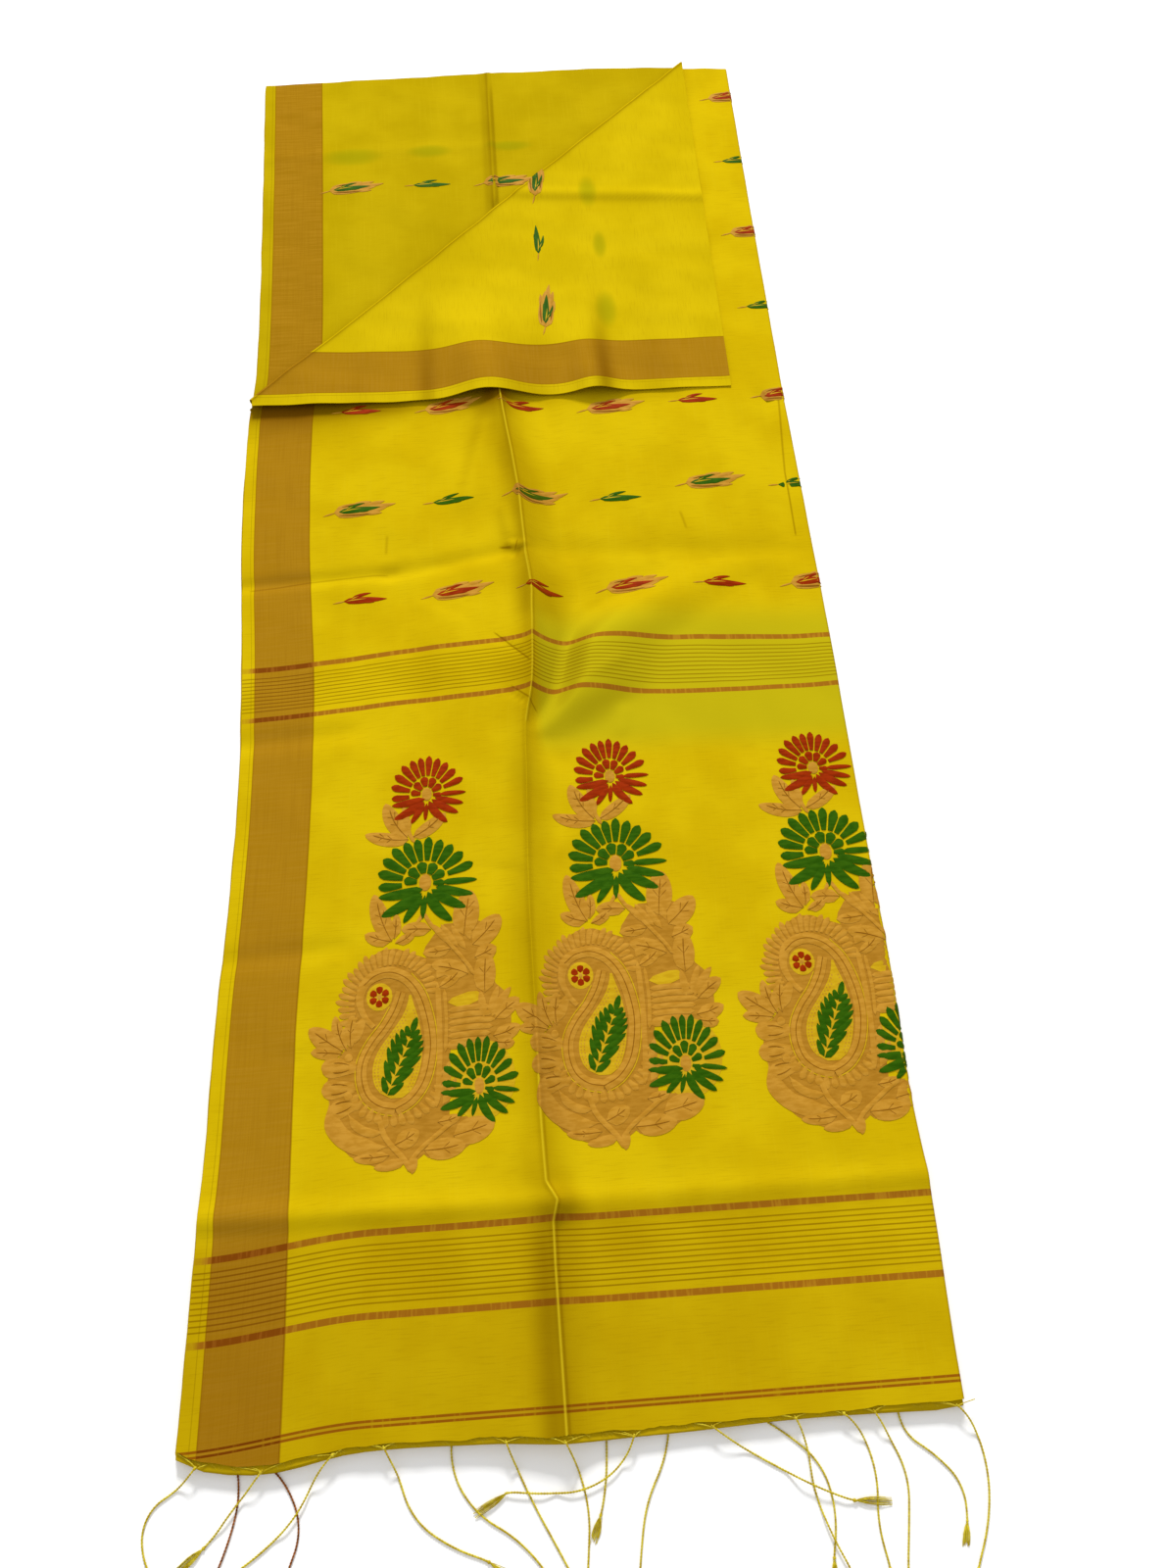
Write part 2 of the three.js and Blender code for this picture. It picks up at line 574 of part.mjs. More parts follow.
// The binding along the hem: in front of the front ply on its ledge, or below the back ply
function binding(ply) {
  const all = columns(0, leftAt(0) + SIDE_LEDGE, rightAt(0) - ROLL);
  const across = all.slice(1);
  const start = ply === 'front' ? BEAD + GAP : -LAYERS * STAGGER - GAP * 2 - STRIP.width;
  const lowAt = (u) => (ply === 'front' ? hemTop(u) : 0) + GAP;
  const grid = (z) => [0, STRIP.width].map((depth) => across.map((u) => (
    spot(u, hemAt(u) + start + depth, lowAt(u) + z))));
  return wall(grid(STRIP.height), grid(0));
}

const wasm = await Module();
wasm.setup();

function toManifold(geometry) {
  const merged = mergeVertices(geometry);
  return new wasm.Manifold(new wasm.Mesh({
    numProp: 3,
    vertProperties: merged.getAttribute('position').array,
    triVerts: Uint32Array.from(merged.getIndex().array),
  }));
}

function fringe(ply) {
  const cords = laidCords().filter(({ cord }) => cord.ply === ply).map(cordSolid);
  const joined = [binding(ply), ...cords].map(toManifold).reduce((sum, next) => sum.add(next));
  const mesh = joined.getMesh();
  const geometry = new THREE.BufferGeometry();
  geometry.setAttribute('position', new THREE.BufferAttribute(mesh.vertProperties, 3));
  geometry.setIndex(new THREE.BufferAttribute(mesh.triVerts, 1));
  return geometry;
}

// The saree
const saree = new THREE.Group();

function add(name, geometry, colour) {
  const mesh = new THREE.Mesh(geometry, new THREE.MeshStandardMaterial(COLOURS[colour]));
  mesh.name = name;
  saree.add(mesh);
}

add('folded_layers', foldedLayers(), 'layers');
add('under_stretch', underStretch(), 'under');
add('front_stretch', frontStretch(), 'silk');
add('turned_corner', turnedCorner(), 'silk');
add('fringe_front', fringe('front'), 'cord');
add('fringe_back', fringe('back'), 'cord');

// The origin is the middle of the whole, on the surface that it lies on
const middle = new THREE.Box3().setFromObject(saree).getCenter(new THREE.Vector3());
saree.position.set(-middle.x, -middle.y, 0);

export default saree;
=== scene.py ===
# %% [markdown]
# # A folded silk saree, laid flat
# The real cloth is six metres of golden silk, folded in half lengthwise and then across, with one
# top corner turned down. This notebook dresses the plain solids of the imported model: each
# visible stretch becomes a thin shell of cloth, woven motifs are laid on it, and a fringe of
# twisted cords lies at the hem. A cloth simulation could drape it, but folds placed one by one
# stay where the real ones are.

import math

import bmesh
import bpy
import numpy as np
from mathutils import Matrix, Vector


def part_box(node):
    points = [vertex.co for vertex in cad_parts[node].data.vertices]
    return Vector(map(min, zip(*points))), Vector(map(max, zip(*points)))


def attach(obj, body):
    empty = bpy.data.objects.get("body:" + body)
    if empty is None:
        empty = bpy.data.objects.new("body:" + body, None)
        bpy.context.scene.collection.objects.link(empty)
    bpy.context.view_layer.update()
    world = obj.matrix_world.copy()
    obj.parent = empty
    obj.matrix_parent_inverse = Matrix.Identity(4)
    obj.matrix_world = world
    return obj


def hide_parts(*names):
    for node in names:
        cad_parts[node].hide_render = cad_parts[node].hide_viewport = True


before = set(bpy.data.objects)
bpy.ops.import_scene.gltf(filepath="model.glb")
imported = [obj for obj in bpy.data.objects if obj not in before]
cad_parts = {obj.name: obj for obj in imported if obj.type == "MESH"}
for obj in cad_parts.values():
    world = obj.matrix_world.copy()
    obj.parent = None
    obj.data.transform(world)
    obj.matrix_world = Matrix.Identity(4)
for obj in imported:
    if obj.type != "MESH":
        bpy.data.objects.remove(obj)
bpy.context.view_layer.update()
BODY = "root"
MM = 0.001

# %% [markdown]
# ## Places on the cloth
# Sizes are easier to think about in millimetres, measured from the cloth itself: u runs across it
# from the bordered edge, v runs up from the hem, z is height. One helper turns them into the
# model's metres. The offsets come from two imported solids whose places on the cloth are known.

# %% From cloth places to the model
TURN = 521
CORNER_V = 1004
CORNER_HEM = CORNER_V - 2
MIDDLE_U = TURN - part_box("under_stretch")[1].x / MM
MIDDLE_V = CORNER_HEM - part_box("turned_corner")[0].y / MM


def to_model(points):
    return (np.asarray(points, float) - (MIDDLE_U, MIDDLE_V, 0)) * MM


print("cloth origin is", round(MIDDLE_U, 2), round(MIDDLE_V, 2), "mm from the model's")

# %% [markdown]
# ## Camera
# The view is from above the fringe end, leaning forward by a little more than a quarter of a
# right angle. A camera has a place, a turn and a lens: together they decide how the long cloth
# narrows with distance, so they were fitted to the cloth's four corners.

# %% Camera
EYE = (290.7, 38.9, 1070.1)
LEAN_AND_TURN = (25.21, -0.13, -4.02)


def put_in_scene(name, data):
    thing = bpy.data.objects.new(name, data)
    bpy.context.scene.collection.objects.link(thing)
    return thing


camera = put_in_scene("camera", bpy.data.cameras.new("camera"))
bpy.context.scene.camera = camera
camera.location = to_model(EYE)
camera.rotation_euler = [math.radians(a) for a in LEAN_AND_TURN]
camera.data.lens = 29.05
camera.data.sensor_width = 36
camera.data.clip_start = 0.01
print("camera at", [round(x, 3) for x in camera.location])

# %% [markdown]
# ## Tables and smooth curves
# The outline and the folds are short tables of sizes. Reading between their rows along a smooth
# curve gives soft shapes from few numbers, and numpy reads thousands of places at once.

# %% Tables


def table(columns, *rows):
    """Named columns from rows of sizes."""
    values = np.array(rows, float)
    return {name: values[:, i] for i, name in enumerate(columns.split())}


def rows_of(rows):
    return zip(*rows.values())


def read(rows, axis, place, column):
    """One column of a table at any place along its axis, on a smooth curve between the rows."""
    x, y = rows[axis], rows[column]
    at = np.clip(place, x[0], x[-1])
    i = np.clip(np.searchsorted(x, at, side="right") - 1, 0, len(x) - 2)
    before, after = np.maximum(i - 1, 0), np.minimum(i + 2, len(x) - 1)
    span = x[i + 1] - x[i]
    t = (at - x[i]) / span
    slope_from = (y[i + 1] - y[before]) / (x[i + 1] - x[before]) * span
    slope_to = (y[after] - y[i]) / (x[after] - x[i]) * span
    rise = y[i + 1] - y[i]
    bend = (1 - t) * slope_from - t * slope_to + (2 * t - 1) * rise
    return y[i] + t * rise + t * (1 - t) * bend


def smooth(t):
    k = np.clip(t, 0, 1)
    return k * k * (3 - 2 * k)


def bell(t):
    return np.exp(-t * t)


SIDES = table("v left right", (-10, -14, 579), (65, -11, 580), (150, -8, 582), (240, -4, 580),
              (340, -1, 582), (445, 5, 581), (560, 8, 581), (690, 5, 581), (825, -1, 579),
              (975, -1, 577), (1060, 5, 577), (1330, 2, 577), (1540, -3, 578))
ENDS = table("u hem top", (-16, 8, 1529), (5, -2, 1529), (55, -7, 1530), (120, 2, 1531),
             (220, 1, 1533), (280, -3, 1534), (355, -2, 1534), (440, 1, 1533), (520, 1, 1529),
             (585, 0, 1524))


def left_at(v):
    return read(SIDES, "v", v, "left")


def right_at(v):
    return read(SIDES, "v", v, "right")


def hem_at(u):
    return read(ENDS, "u", u, "hem")


def top_at(u):
    return read(ENDS, "u", u, "top")


print("width at the hem:", round(float(right_at(0) - left_at(0))), "mm")

# %% [markdown]
# ## The folds
# Silk that has been stored folded keeps one sharp lengthwise crease, a round fold that branches
# off it, and soft creases across. Each is a small function of height, so the same folds serve the
# cloth, the motifs woven in it and the fringe. The finest ones are only here, not in the solids.

# %% Fold tables
RIDGE = table("v u height slope fall", (-10, 278, 8, 90, 34), (100, 277, 10, 90, 38),
              (152, 277, 11, 85, 38), (168, 281, 13, 80, 34), (184, 273, 12, 80, 36),
              (300, 272, 12, 85, 42), (430, 272, 12, 90, 42), (550, 276, 13, 90, 34),
              (600, 278, 15, 95, 20), (640, 286, 21, 120, 25), (690, 289, 26, 190, 36),
              (757, 291, 22, 150, 50), (800, 287, 18, 120, 46), (880, 283, 18, 100, 48),
              (960, 274, 16, 90, 46), (1010, 270, 13, 80, 44), (1110, 270, 6, 70, 44),
              (1220, 276, 0, 70, 44))
RIDGE_SHARP = 0.5
CREST_REACH = 13
FALL_CURVE = 1.7
BRANCH = table("v u height near far", (585, 288, 0, 20, 50), (612, 316, 8, 28, 58),
               (640, 339, 13, 36, 68), (688, 354, 14, 38, 78), (718, 384, 9, 50, 84),
               (748, 432, 5, 60, 80), (780, 480, 0, 70, 80))
CREASES = table("u1 v1 u2 v2 rise width", (-20, 176, 281, 167, 3.2, 11),
                (281, 165, 600, 169, 2.4, 12), (-10, 778, 150, 783, -2.6, 8),
                (150, 783, 276, 798, -2.5, 9), (300, 800, 560, 786, -1.6, 13),
                (236, 872, 262, 1000, 2.2, 14), (558, 805, 556, 990, -1.4, 8),
                (-5, 600, 110, 606, -2.4, 11), (-5, 388, 105, 393, -2, 10))
FINE_CREASES = table("u1 v1 u2 v2 rise width", (247, 700, 277, 673, -0.9, 1.8),
                     (260, 638, 286, 612, -0.9, 1.8), (372, 612, 368, 590, 1.6, 5),
                     (267, 846, 270, 818, 1.0, 6), (250, 955, 226, 858, 1.2, 10),
                     (152, 806, 149, 826, -0.7, 5), (168, 802, 174, 788, 0.7, 5),
                     (566, 800, 557, 990, -1.7, 2.2), (180, 742, 214, 716, 0.7, 6),
                     (272, 803, 286, 798, 2.6, 5), (276, 790, 288, 796, -1.6, 4),
                     (300, 470, 322, 500, 0.8, 8), (330, 640, 372, 664, 0.8, 6),
                     (180, 470, 262, 452, -0.5, 6), (60, 300, 240, 296, -0.6, 9),
                     (300, 330, 430, 322, -0.5, 9))
SWELLS = table("u v ru rv height", (190, 120, 150, 150, 4.5), (430, 330, 130, 190, 3.5),
               (130, 450, 110, 150, 2.5), (140, 900, 120, 130, 4), (440, 900, 120, 130, 4),
               (170, 1330, 150, 130, 3), (430, 1300, 110, 160, 2.5))
WAVES = table("u height reach fade", (60, 3.5, 70, 120), (258, 17.5, 40, 200), (374, 9.5, 25, 180))
UNDER_CREASE = table("u1 v1 u2 v2 rise width", (0, 1395, 300, 1398, 0.8, 10))
print("creases:", len(CREASES["rise"]), "and", len(FINE_CREASES["rise"]), "fine ones")

# %% [markdown]
# The folds are summed into one height for each stretch. A fold could be modelled as its own
# surface, but heights that add up let a crease run over a ridge without a seam.

# %% Fold heights
STACK, GAP, WALL = 7, 0.3, 1.4
LOFT, LOFT_REACH = 6.5, 45
TUCK_STEP, TUCK_CLEAR, TUCK_FADE, TUCK = 2.1, 16, 30, 14
SHOULDER, PINCH, PINCH_REACH = 1.4, 0.5, 2.4
UNDER_FOLD, UNDER_RISE = 277, 3.4
CORNER_CREASE, CORNER_RISE, CREASE_START = 1306, 2.2, 285
RIPPLES = table("across along turn height", (61, 240, 0.4, 0.22), (143, 95, 1.9, 0.28),
                (37, 130, 4.1, 0.1), (88, 52, 2.7, 0.12))


def swell(u, v):
    return sum(height * bell(np.hypot((u - u0) / ru, (v - v0) / rv))
               for u0, v0, ru, rv, height in rows_of(SWELLS))


def ripple(u, v):
    return sum(height * np.sin(u / across * 6.28 + v / along * 6.28 + turn)
               for across, along, turn, height in rows_of(RIPPLES))


def ridge(u, v):
    """The lengthwise crease: steep on its left face, and curved on the right."""
    d = u - read(RIDGE, "v", v, "u")
    height = read(RIDGE, "v", v, "height")
    fall = np.clip(1 - d / read(RIDGE, "v", v, "fall"), 0, 1) ** FALL_CURVE
    slope = (1 - RIDGE_SHARP) * (1 - smooth(-d / read(RIDGE, "v", v, "slope")))
    crest = RIDGE_SHARP * np.exp(np.minimum(d, 0) / CREST_REACH)
    return height * np.where(d > 0, fall, crest + slope)


def branch(u, v):
    d = u - read(BRANCH, "v", v, "u")
    side = np.where(d > 0, d / read(BRANCH, "v", v, "far"), -d / read(BRANCH, "v", v, "near"))
    return read(BRANCH, "v", v, "height") * (1 - smooth(side))


def creases(u, v, strokes):
    lift = np.zeros(np.broadcast(u, v).shape)
    for u1, v1, u2, v2, rise, width in rows_of(strokes):
        du, dv = u2 - u1, v2 - v1
        t = np.clip(((u - u1) * du + (v - v1) * dv) / (du * du + dv * dv), 0, 1)
        lift = lift + rise * bell(np.hypot(u - u1 - t * du, v - v1 - t * dv) / width)
    return lift


def below_fold(u, v):
    """How far a place is from the slanting fold of the corner, inside the folded part."""
    slant = (u - (v - CORNER_V)) / math.sqrt(2)
    return np.where(v < CORNER_V, np.hypot(u / math.sqrt(2), CORNER_V - v), slant)


def stack_height(u, v):
    return STACK + swell(u, v) + ridge(u, v) + branch(u, v) + creases(u, v, CREASES)


def front_height(u, v):
    lift = TUCK_STEP * (1 - smooth((below_fold(u, v) - TUCK_CLEAR) / TUCK_FADE))
    shoulder = SHOULDER * smooth((v - 158) / 16) * (1 - smooth((v - 178) / 60))
    pinch = PINCH * bell((u - read(RIDGE, "v", v, "u")) / PINCH_REACH)
    fine = creases(u, v, FINE_CREASES) + ripple(u, v) + shoulder + pinch
    return stack_height(u, v) + GAP + WALL + lift + fine


def under_height(u, v):
    above = v - CORNER_V - UNDER_FOLD - 5
    side = np.where(u > UNDER_FOLD, 2.5, 9.0)
    calmer = 0.35 + 0.65 * smooth((1530 - v) / 60)
    stand = UNDER_RISE * bell((u - UNDER_FOLD) / side) * smooth(above / 20) * calmer
    across = creases(u, v, UNDER_CREASE)
    return STACK + GAP + WALL + swell(u, v) + stand + across + ripple(u, v)


def above_crease(u, v):
    """How far a place is above the corner's cross crease, which slants a little."""
    return v - CORNER_CREASE + (u - 320) * 0.06


def corner_height(u, v):
    lean = 0.08 * np.clip(v - CORNER_V, 0, 150)
    waves = sum(height * bell((u + lean - u0) / reach) * (1 - smooth((v - CORNER_V) / fade))
                for u0, height, reach, fade in rows_of(WAVES))
    loft = LOFT * np.exp(-np.maximum(below_fold(u, v), 0) / LOFT_REACH)
    stand = CORNER_RISE * bell(above_crease(u, v) / 8) * smooth((u - CREASE_START) / 30)
    return STACK + 2 * (GAP + WALL) + 0.5 + swell(u, v) + waves + loft + stand + ripple(v, u)


print("highest fold:", round(float(front_height(np.array(289.0), np.array(700.0))), 1), "mm")

# %% [markdown]
# ## Painted shade in the folds
# Silk looks darker where it turns away or lies close under another fold. Even studio light
# softens that, so short tables say where shade is painted into the colour: in the waves of the
# corner, on the two faces of the ridge, and at the foot of the corner. The amounts are judged.

# %% Shade tables
CORNER_SHADES = table("u amount reach fade", (192, 1.3, 11, 190), (384, 1.6, 10, 200),
                      (312, 0.5, 18, 130), (120, 0.3, 14, 90), (440, 0.4, 20, 200))
CREST_SHADE = table("v face fall", (0, 1.4, 0.1), (60, 1.4, 0.1), (130, 1.2, 0), (170, 0.2, 0),
                    (185, 0.35, 0), (400, 0.35, 0), (540, 0.35, 0), (575, 0.25, -0.4),
                    (600, 0.1, -0.8), (650, 0.1, -0.8), (704, 0.15, -0.8), (722, 0.6, -0.1),
                    (740, 0.6, 0), (800, 0.45, 0), (930, 0.6, 0), (1010, 0.6, 0))
UNDER_CORNER = table("u depth reach", (-16, 2.2, 13), (60, 2.5, 16), (140, 2.1, 14), (190, 1.2, 8),
                     (228, 1.4, 15), (262, 2.0, 24), (288, 1.1, 12), (320, 0.5, 6), (390, 0.6, 8),
                     (440, 0.5, 5), (480, 0.2, 4), (500, 0, 3), (600, 0, 3))


def corner_shade(u, v):
    """Painted shade: darker bands where the waves of the corner turn down steeply."""
    bands = sum(amount * bell((u - u0) / reach) * (1 - smooth((v - CORNER_V) / fade))
                for u0, amount, reach, fade in rows_of(CORNER_SHADES))
    crease = 0.5 * bell((above_crease(u, v) + 7) / 4) * smooth((u - CREASE_START) / 30)
    at_the_fold = 1.8 * np.exp(-(u + CORNER_V - v) / 2.4)
    return bands + crease + at_the_fold


def under_corner(u, v):
    """Painted shadow: the front lies in the corner's shade along its edge."""
    depth = read(UNDER_CORNER, "u", u, "depth")
    return depth * np.exp(-np.maximum(CORNER_HEM - 9 - v, 0) / read(UNDER_CORNER, "u", u, "reach"))


def front_shade(u, v):
    """Painted shade on the two faces of the ridge, and painted shadow of the turned corner."""
    off = u - read(RIDGE, "v", v, "u")
    face = read(CREST_SHADE, "v", v, "face") * bell((off + 9) / np.where(off > -9, 9, 12))
    fall = read(CREST_SHADE, "v", v, "fall") * bell((off - 16) / 16)
    return face + fall + under_corner(u, v)


print("shade at the ridge's left face, v 100:",
      round(float(front_shade(np.array(268.0), np.array(100.0))), 2))

# %% [markdown]
# ## Where the threads run
# A woven stripe or motif follows the threads, not the table top: over a ridge the cloth uses more
# of its width. Summing the cloth's slanted length from the bordered edge gives each place its
# thread number, x, out of a half width of 600 mm. Two look-up grids turn x into u and back.

# %% Thread map
HALF_WIDTH = 600
ROLL, ROLL_SWEEP = 2.4, 2.75
GRID_STEP = 5.0
grid_v = np.arange(-40.0, 1566.0, GRID_STEP)
grid_u = np.arange(-40.0, 606.0, 1.0)
grid_x = np.arange(-20.0, 612.0, 1.0)

slopes = np.gradient(front_height(grid_u[None, :], grid_v[:, None]), axis=1)
travel = np.cumsum(np.sqrt(1 + slopes ** 2), axis=1)
x_rows, u_rows, takeup = [], [], []
for v_line, run in zip(grid_v, travel):
    start, end = np.interp([left_at(v_line), right_at(v_line) - ROLL], grid_u, run)
    row = (run - start) * (HALF_WIDTH - ROLL) / (end - start)
    x_rows.append(row)
    u_rows.append(np.interp(grid_x, row, grid_u))
    takeup.append(end - start + ROLL - float(right_at(v_line) - left_at(v_line)))
threads_at = np.array(x_rows)
places_at = np.array(u_rows)


def on_grid(field, across, along, first):
    """The value of a look-up grid between its four nearest points."""
    i = np.clip((along - grid_v[0]) / GRID_STEP, 0, len(grid_v) - 1.001)
    j = np.clip(across - first, 0, field.shape[1] - 1.001)
    i0, j0 = i.astype(int), j.astype(int)
    fi, fj = i - i0, j - j0
    low = field[i0, j0] * (1 - fj) + field[i0, j0 + 1] * fj
    high = field[i0 + 1, j0] * (1 - fj) + field[i0 + 1, j0 + 1] * fj
    return low * (1 - fi) + high * fi


def thread_x(u, v):
    return on_grid(threads_at, u, v, grid_u[0])


def place_u(x, v):
    return on_grid(places_at, x, v, grid_x[0])


def weft_dip(x, v):
    """The weft lines sag towards the border near the hem, and right of the ridge's crest."""
    near_hem = 12 * (1 - smooth(x / 145)) * (1 - smooth((v - 160) / 110))
    border_side = 12 * (1 - smooth(x / 200)) * bell((v - 650) / 110)
    fold_side = 8 * smooth((x - 440) / 140) * bell((v - 665) / 130)
    past = x - read(RIDGE, "v", v, "u") - 3
    pulled = 7 * smooth(past / 26) * (1 - smooth((past - 34) / 60))
    pulled = pulled * smooth((v - 670) / 70) * (1 - smooth((v - 990) / 30))
    beside = 7 * bell((x - 460) / 80) * bell((v - 632) / 38)
    return near_hem + border_side + fold_side + pulled + beside


print("width used up by the folds at v 0, 280, 690:",
      [round(float(np.interp(v, grid_v, takeup)), 1) for v in (0, 280, 690)], "mm")

# %% [markdown]
# ## Node helpers
# Every finish below is a small graph of shader nodes. These helpers add a node, wire it and give
# back its output, so that a pattern reads like a formula.

# %% Node helpers
LIGHT_LEVEL = 1.34


def dye(r, g, b):
    """A dye from the colour it should show, 0 to 255, once the studio light falls on it."""
    def linear(c):
        c = c / 255
        return (c / 12.92 if c <= 0.04045 else ((c + 0.055) / 1.055) ** 2.4) / LIGHT_LEVEL
    return (linear(r), linear(g), linear(b), 1)


class Graph:
    """Adds nodes to one material."""

    def __init__(self, name):
        self.material = bpy.data.materials.new(name)
        self.material.use_nodes = True
        self.nodes = self.material.node_tree.nodes
        self.links = self.material.node_tree.links
        self.shader = self.nodes["Principled BSDF"]

    def put(self, socket, value):
        if isinstance(value, bpy.types.NodeSocket):
            self.links.new(value, socket)
        else:
            socket.default_value = value

    def math(self, operation, a, b=0.0):
        node = self.nodes.new("ShaderNodeMath")
        node.operation = operation
        for socket, value in zip(node.inputs, (a, b)):
            self.put(socket, value)
        return node.outputs[0]

    def cloth(self):
        """The thread map in millimetres, as two numbers."""
        uv = self.nodes.new("ShaderNodeUVMap")
        uv.uv_map = "threads"
        apart = self.nodes.new("ShaderNodeSeparateXYZ")
        self.links.new(uv.outputs[0], apart.inputs[0])
        return (self.math("MULTIPLY", apart.outputs[0], 1000.0),
                self.math("MULTIPLY", apart.outputs[1], 1000.0))

    def with_painted_shade(self, color, share):
        """Painted shade: the stored slope darkens the colour where silk turns away."""
        slope = self.nodes.new("ShaderNodeAttribute")
        slope.attribute_name = "slope"
        # The dark brown that the painted shade mixes in.
        return self.mix(self.math("MULTIPLY", slope.outputs["Fac"], share), color,
                        dye(106, 62, 0))

    def point(self, x, y):
        node = self.nodes.new("ShaderNodeCombineXYZ")
        for socket, value in zip(node.inputs, (x, y)):
            self.put(socket, value)
        return node.outputs[0]

    def noise(self, where, scale, detail=2.0):
        node = self.nodes.new("ShaderNodeTexNoise")
        self.put(node.inputs["Vector"], where)
        node.inputs["Scale"].default_value = scale
        node.inputs["Detail"].default_value = detail
        return node.outputs[0]

    def ramp(self, value, low, high, to_low=0.0, to_high=1.0):
        node = self.nodes.new("ShaderNodeMapRange")
        node.interpolation_type = "SMOOTHSTEP"
        for name, v in (("Value", value), ("From Min", low), ("From Max", high),
                        ("To Min", to_low), ("To Max", to_high)):
            self.put(node.inputs[name], v)
        return node.outputs[0]

    def stripe(self, value, centre, half, soft=0.25):
        """One inside a stripe, nothing outside it, with a soft edge."""
        away = self.math("ABSOLUTE", self.math("SUBTRACT", value, centre))
        return self.ramp(away, half - soft, half + soft, 1.0, 0.0)

    def mix(self, factor, a, b):
        node = self.nodes.new("ShaderNodeMix")
        node.data_type = "RGBA"
        self.put(node.inputs["Factor"], factor)
        self.put(node.inputs[6], a)
        self.put(node.inputs[7], b)
        return node.outputs[2]

    def bump(self, height, strength, distance):
        node = self.nodes.new("ShaderNodeBump")
        node.inputs["Strength"].default_value = strength
        node.inputs["Distance"].default_value = distance
        self.put(node.inputs["Height"], height)
        self.put(self.shader.inputs["Normal"], node.outputs[0])

    def finish(self, color, roughness, sheen=0.0, specular=0.5, gloss=(1, 1, 1, 1)):
        """Gloss tints what the threads reflect: dyed silk reflects its own colour."""
        self.put(self.shader.inputs["Base Color"], color)
        self.shader.inputs["Roughness"].default_value = roughness
        self.shader.inputs["Sheen Weight"].default_value = sheen
        self.shader.inputs["Sheen Roughness"].default_value = 0.4
        self.shader.inputs["Sheen Tint"].default_value = gloss
        self.shader.inputs["Specular IOR Level"].default_value = specular
        self.shader.inputs["Specular Tint"].default_value = gloss
        return self.material


# %% [markdown]
# ## The silk
# The ground is golden yellow with fine slubs along the weft. It is greener round the two upper
# stripes, right of the ridge. Near the hem and in the folds the colour is darkened as painted
# shade. Its border, selvedge and cross stripes are woven in, so they are read off the thread map:
# x picks the border, y picks the stripes. A painted image would do it too, but a formula stays
# sharp at any distance. The uneven copper comes from a noise that is stretched along the threads.

# %% Silk finish
BORDER = (14, 71)
STRIPE_HALF = 2.6
COPPER_STRIPES = (94.5, 155.5, 636.0, 690.5)
LINE_BANDS = ((101.5, 148.5, 11), (643.3, 683.4, 10))
HEM_STRIPES = (18.2, 21.8)
GREENER_BAND = 648.0
SELVEDGE_LINE = 10.4
YELLOW_GLOSS = (1, 0.86, 0.16, 1)
COPPER_GLOSS = (1, 0.78, 0.42, 1)


def stripes_and_lines(g, cloth, x, y, in_border, broken):
    line_tone = g.mix(in_border, dye(142, 104, 4), dye(120, 68, 8))
    for low, high, count in LINE_BANDS:
        pitch = (high - low) / count
        turn = g.math("FRACT", g.math("DIVIDE", g.math("SUBTRACT", y, low), pitch))
        mask = g.math("MULTIPLY", g.stripe(turn, 0.5, 0.14, 0.07),
                      g.stripe(y, (low + high) / 2, (high - low) / 2, 0.1))
        cloth = g.mix(g.math("MULTIPLY", mask, 0.7), cloth, line_tone)
    gold = g.mix(g.ramp(broken, 0.5, 0.62), dye(172, 108, 26), dye(190, 132, 32))
    dark = g.mix(g.ramp(broken, 0.5, 0.62), dye(134, 68, 14), dye(154, 88, 24))
    stripe = g.stripe(y, COPPER_STRIPES[0], STRIPE_HALF)
    for centre in COPPER_STRIPES[1:]:
        stripe = g.math("MAXIMUM", stripe, g.stripe(y, centre, STRIPE_HALF))
    faded = g.math("MULTIPLY", stripe, g.ramp(x, 5.0, 13.0, 0.35, 0.95))
    cloth = g.mix(faded, cloth, g.mix(in_border, gold, dark))
    middle = sum(HEM_STRIPES) / 2
    cloth = g.mix(g.math("MULTIPLY", g.stripe(y, middle, 3.0), 0.5), cloth, dye(196, 146, 26))
    thin = g.math("MAXIMUM", g.stripe(y, HEM_STRIPES[0], 0.9), g.stripe(y, HEM_STRIPES[1], 0.9))
    return g.mix(g.math("MULTIPLY", thin, g.ramp(broken, 0.3, 0.45, 0.6, 0.95)), cloth,
                 g.mix(in_border, dye(160, 92, 14), dye(120, 54, 8)))


def painted_crease_lines(g, cloth, x, y, strokes, tone):
    """Creases too sharp for the sheet's grid are drawn along the threads as thin lines:
    painted shade in dark tones, a painted highlight in pale ones.
    """
    for x1, y1, x2, y2, half, share in rows_of(strokes):
        length = math.hypot(x2 - x1, y2 - y1)
        ux, uy = (x2 - x1) / length, (y2 - y1) / length
        dx, dy = g.math("SUBTRACT", x, x1), g.math("SUBTRACT", y, y1)
        along = g.math("ADD", g.math("MULTIPLY", dx, ux), g.math("MULTIPLY", dy, uy))
        off = g.math("SUBTRACT", g.math("MULTIPLY", dy, ux), g.math("MULTIPLY", dx, uy))
        mask = g.math("MULTIPLY", g.stripe(off, 0.0, half, half * 0.9),
                      g.stripe(along, length / 2, length / 2, 3.0))
        cloth = g.mix(g.math("MULTIPLY", mask, share), cloth, tone)
    return cloth


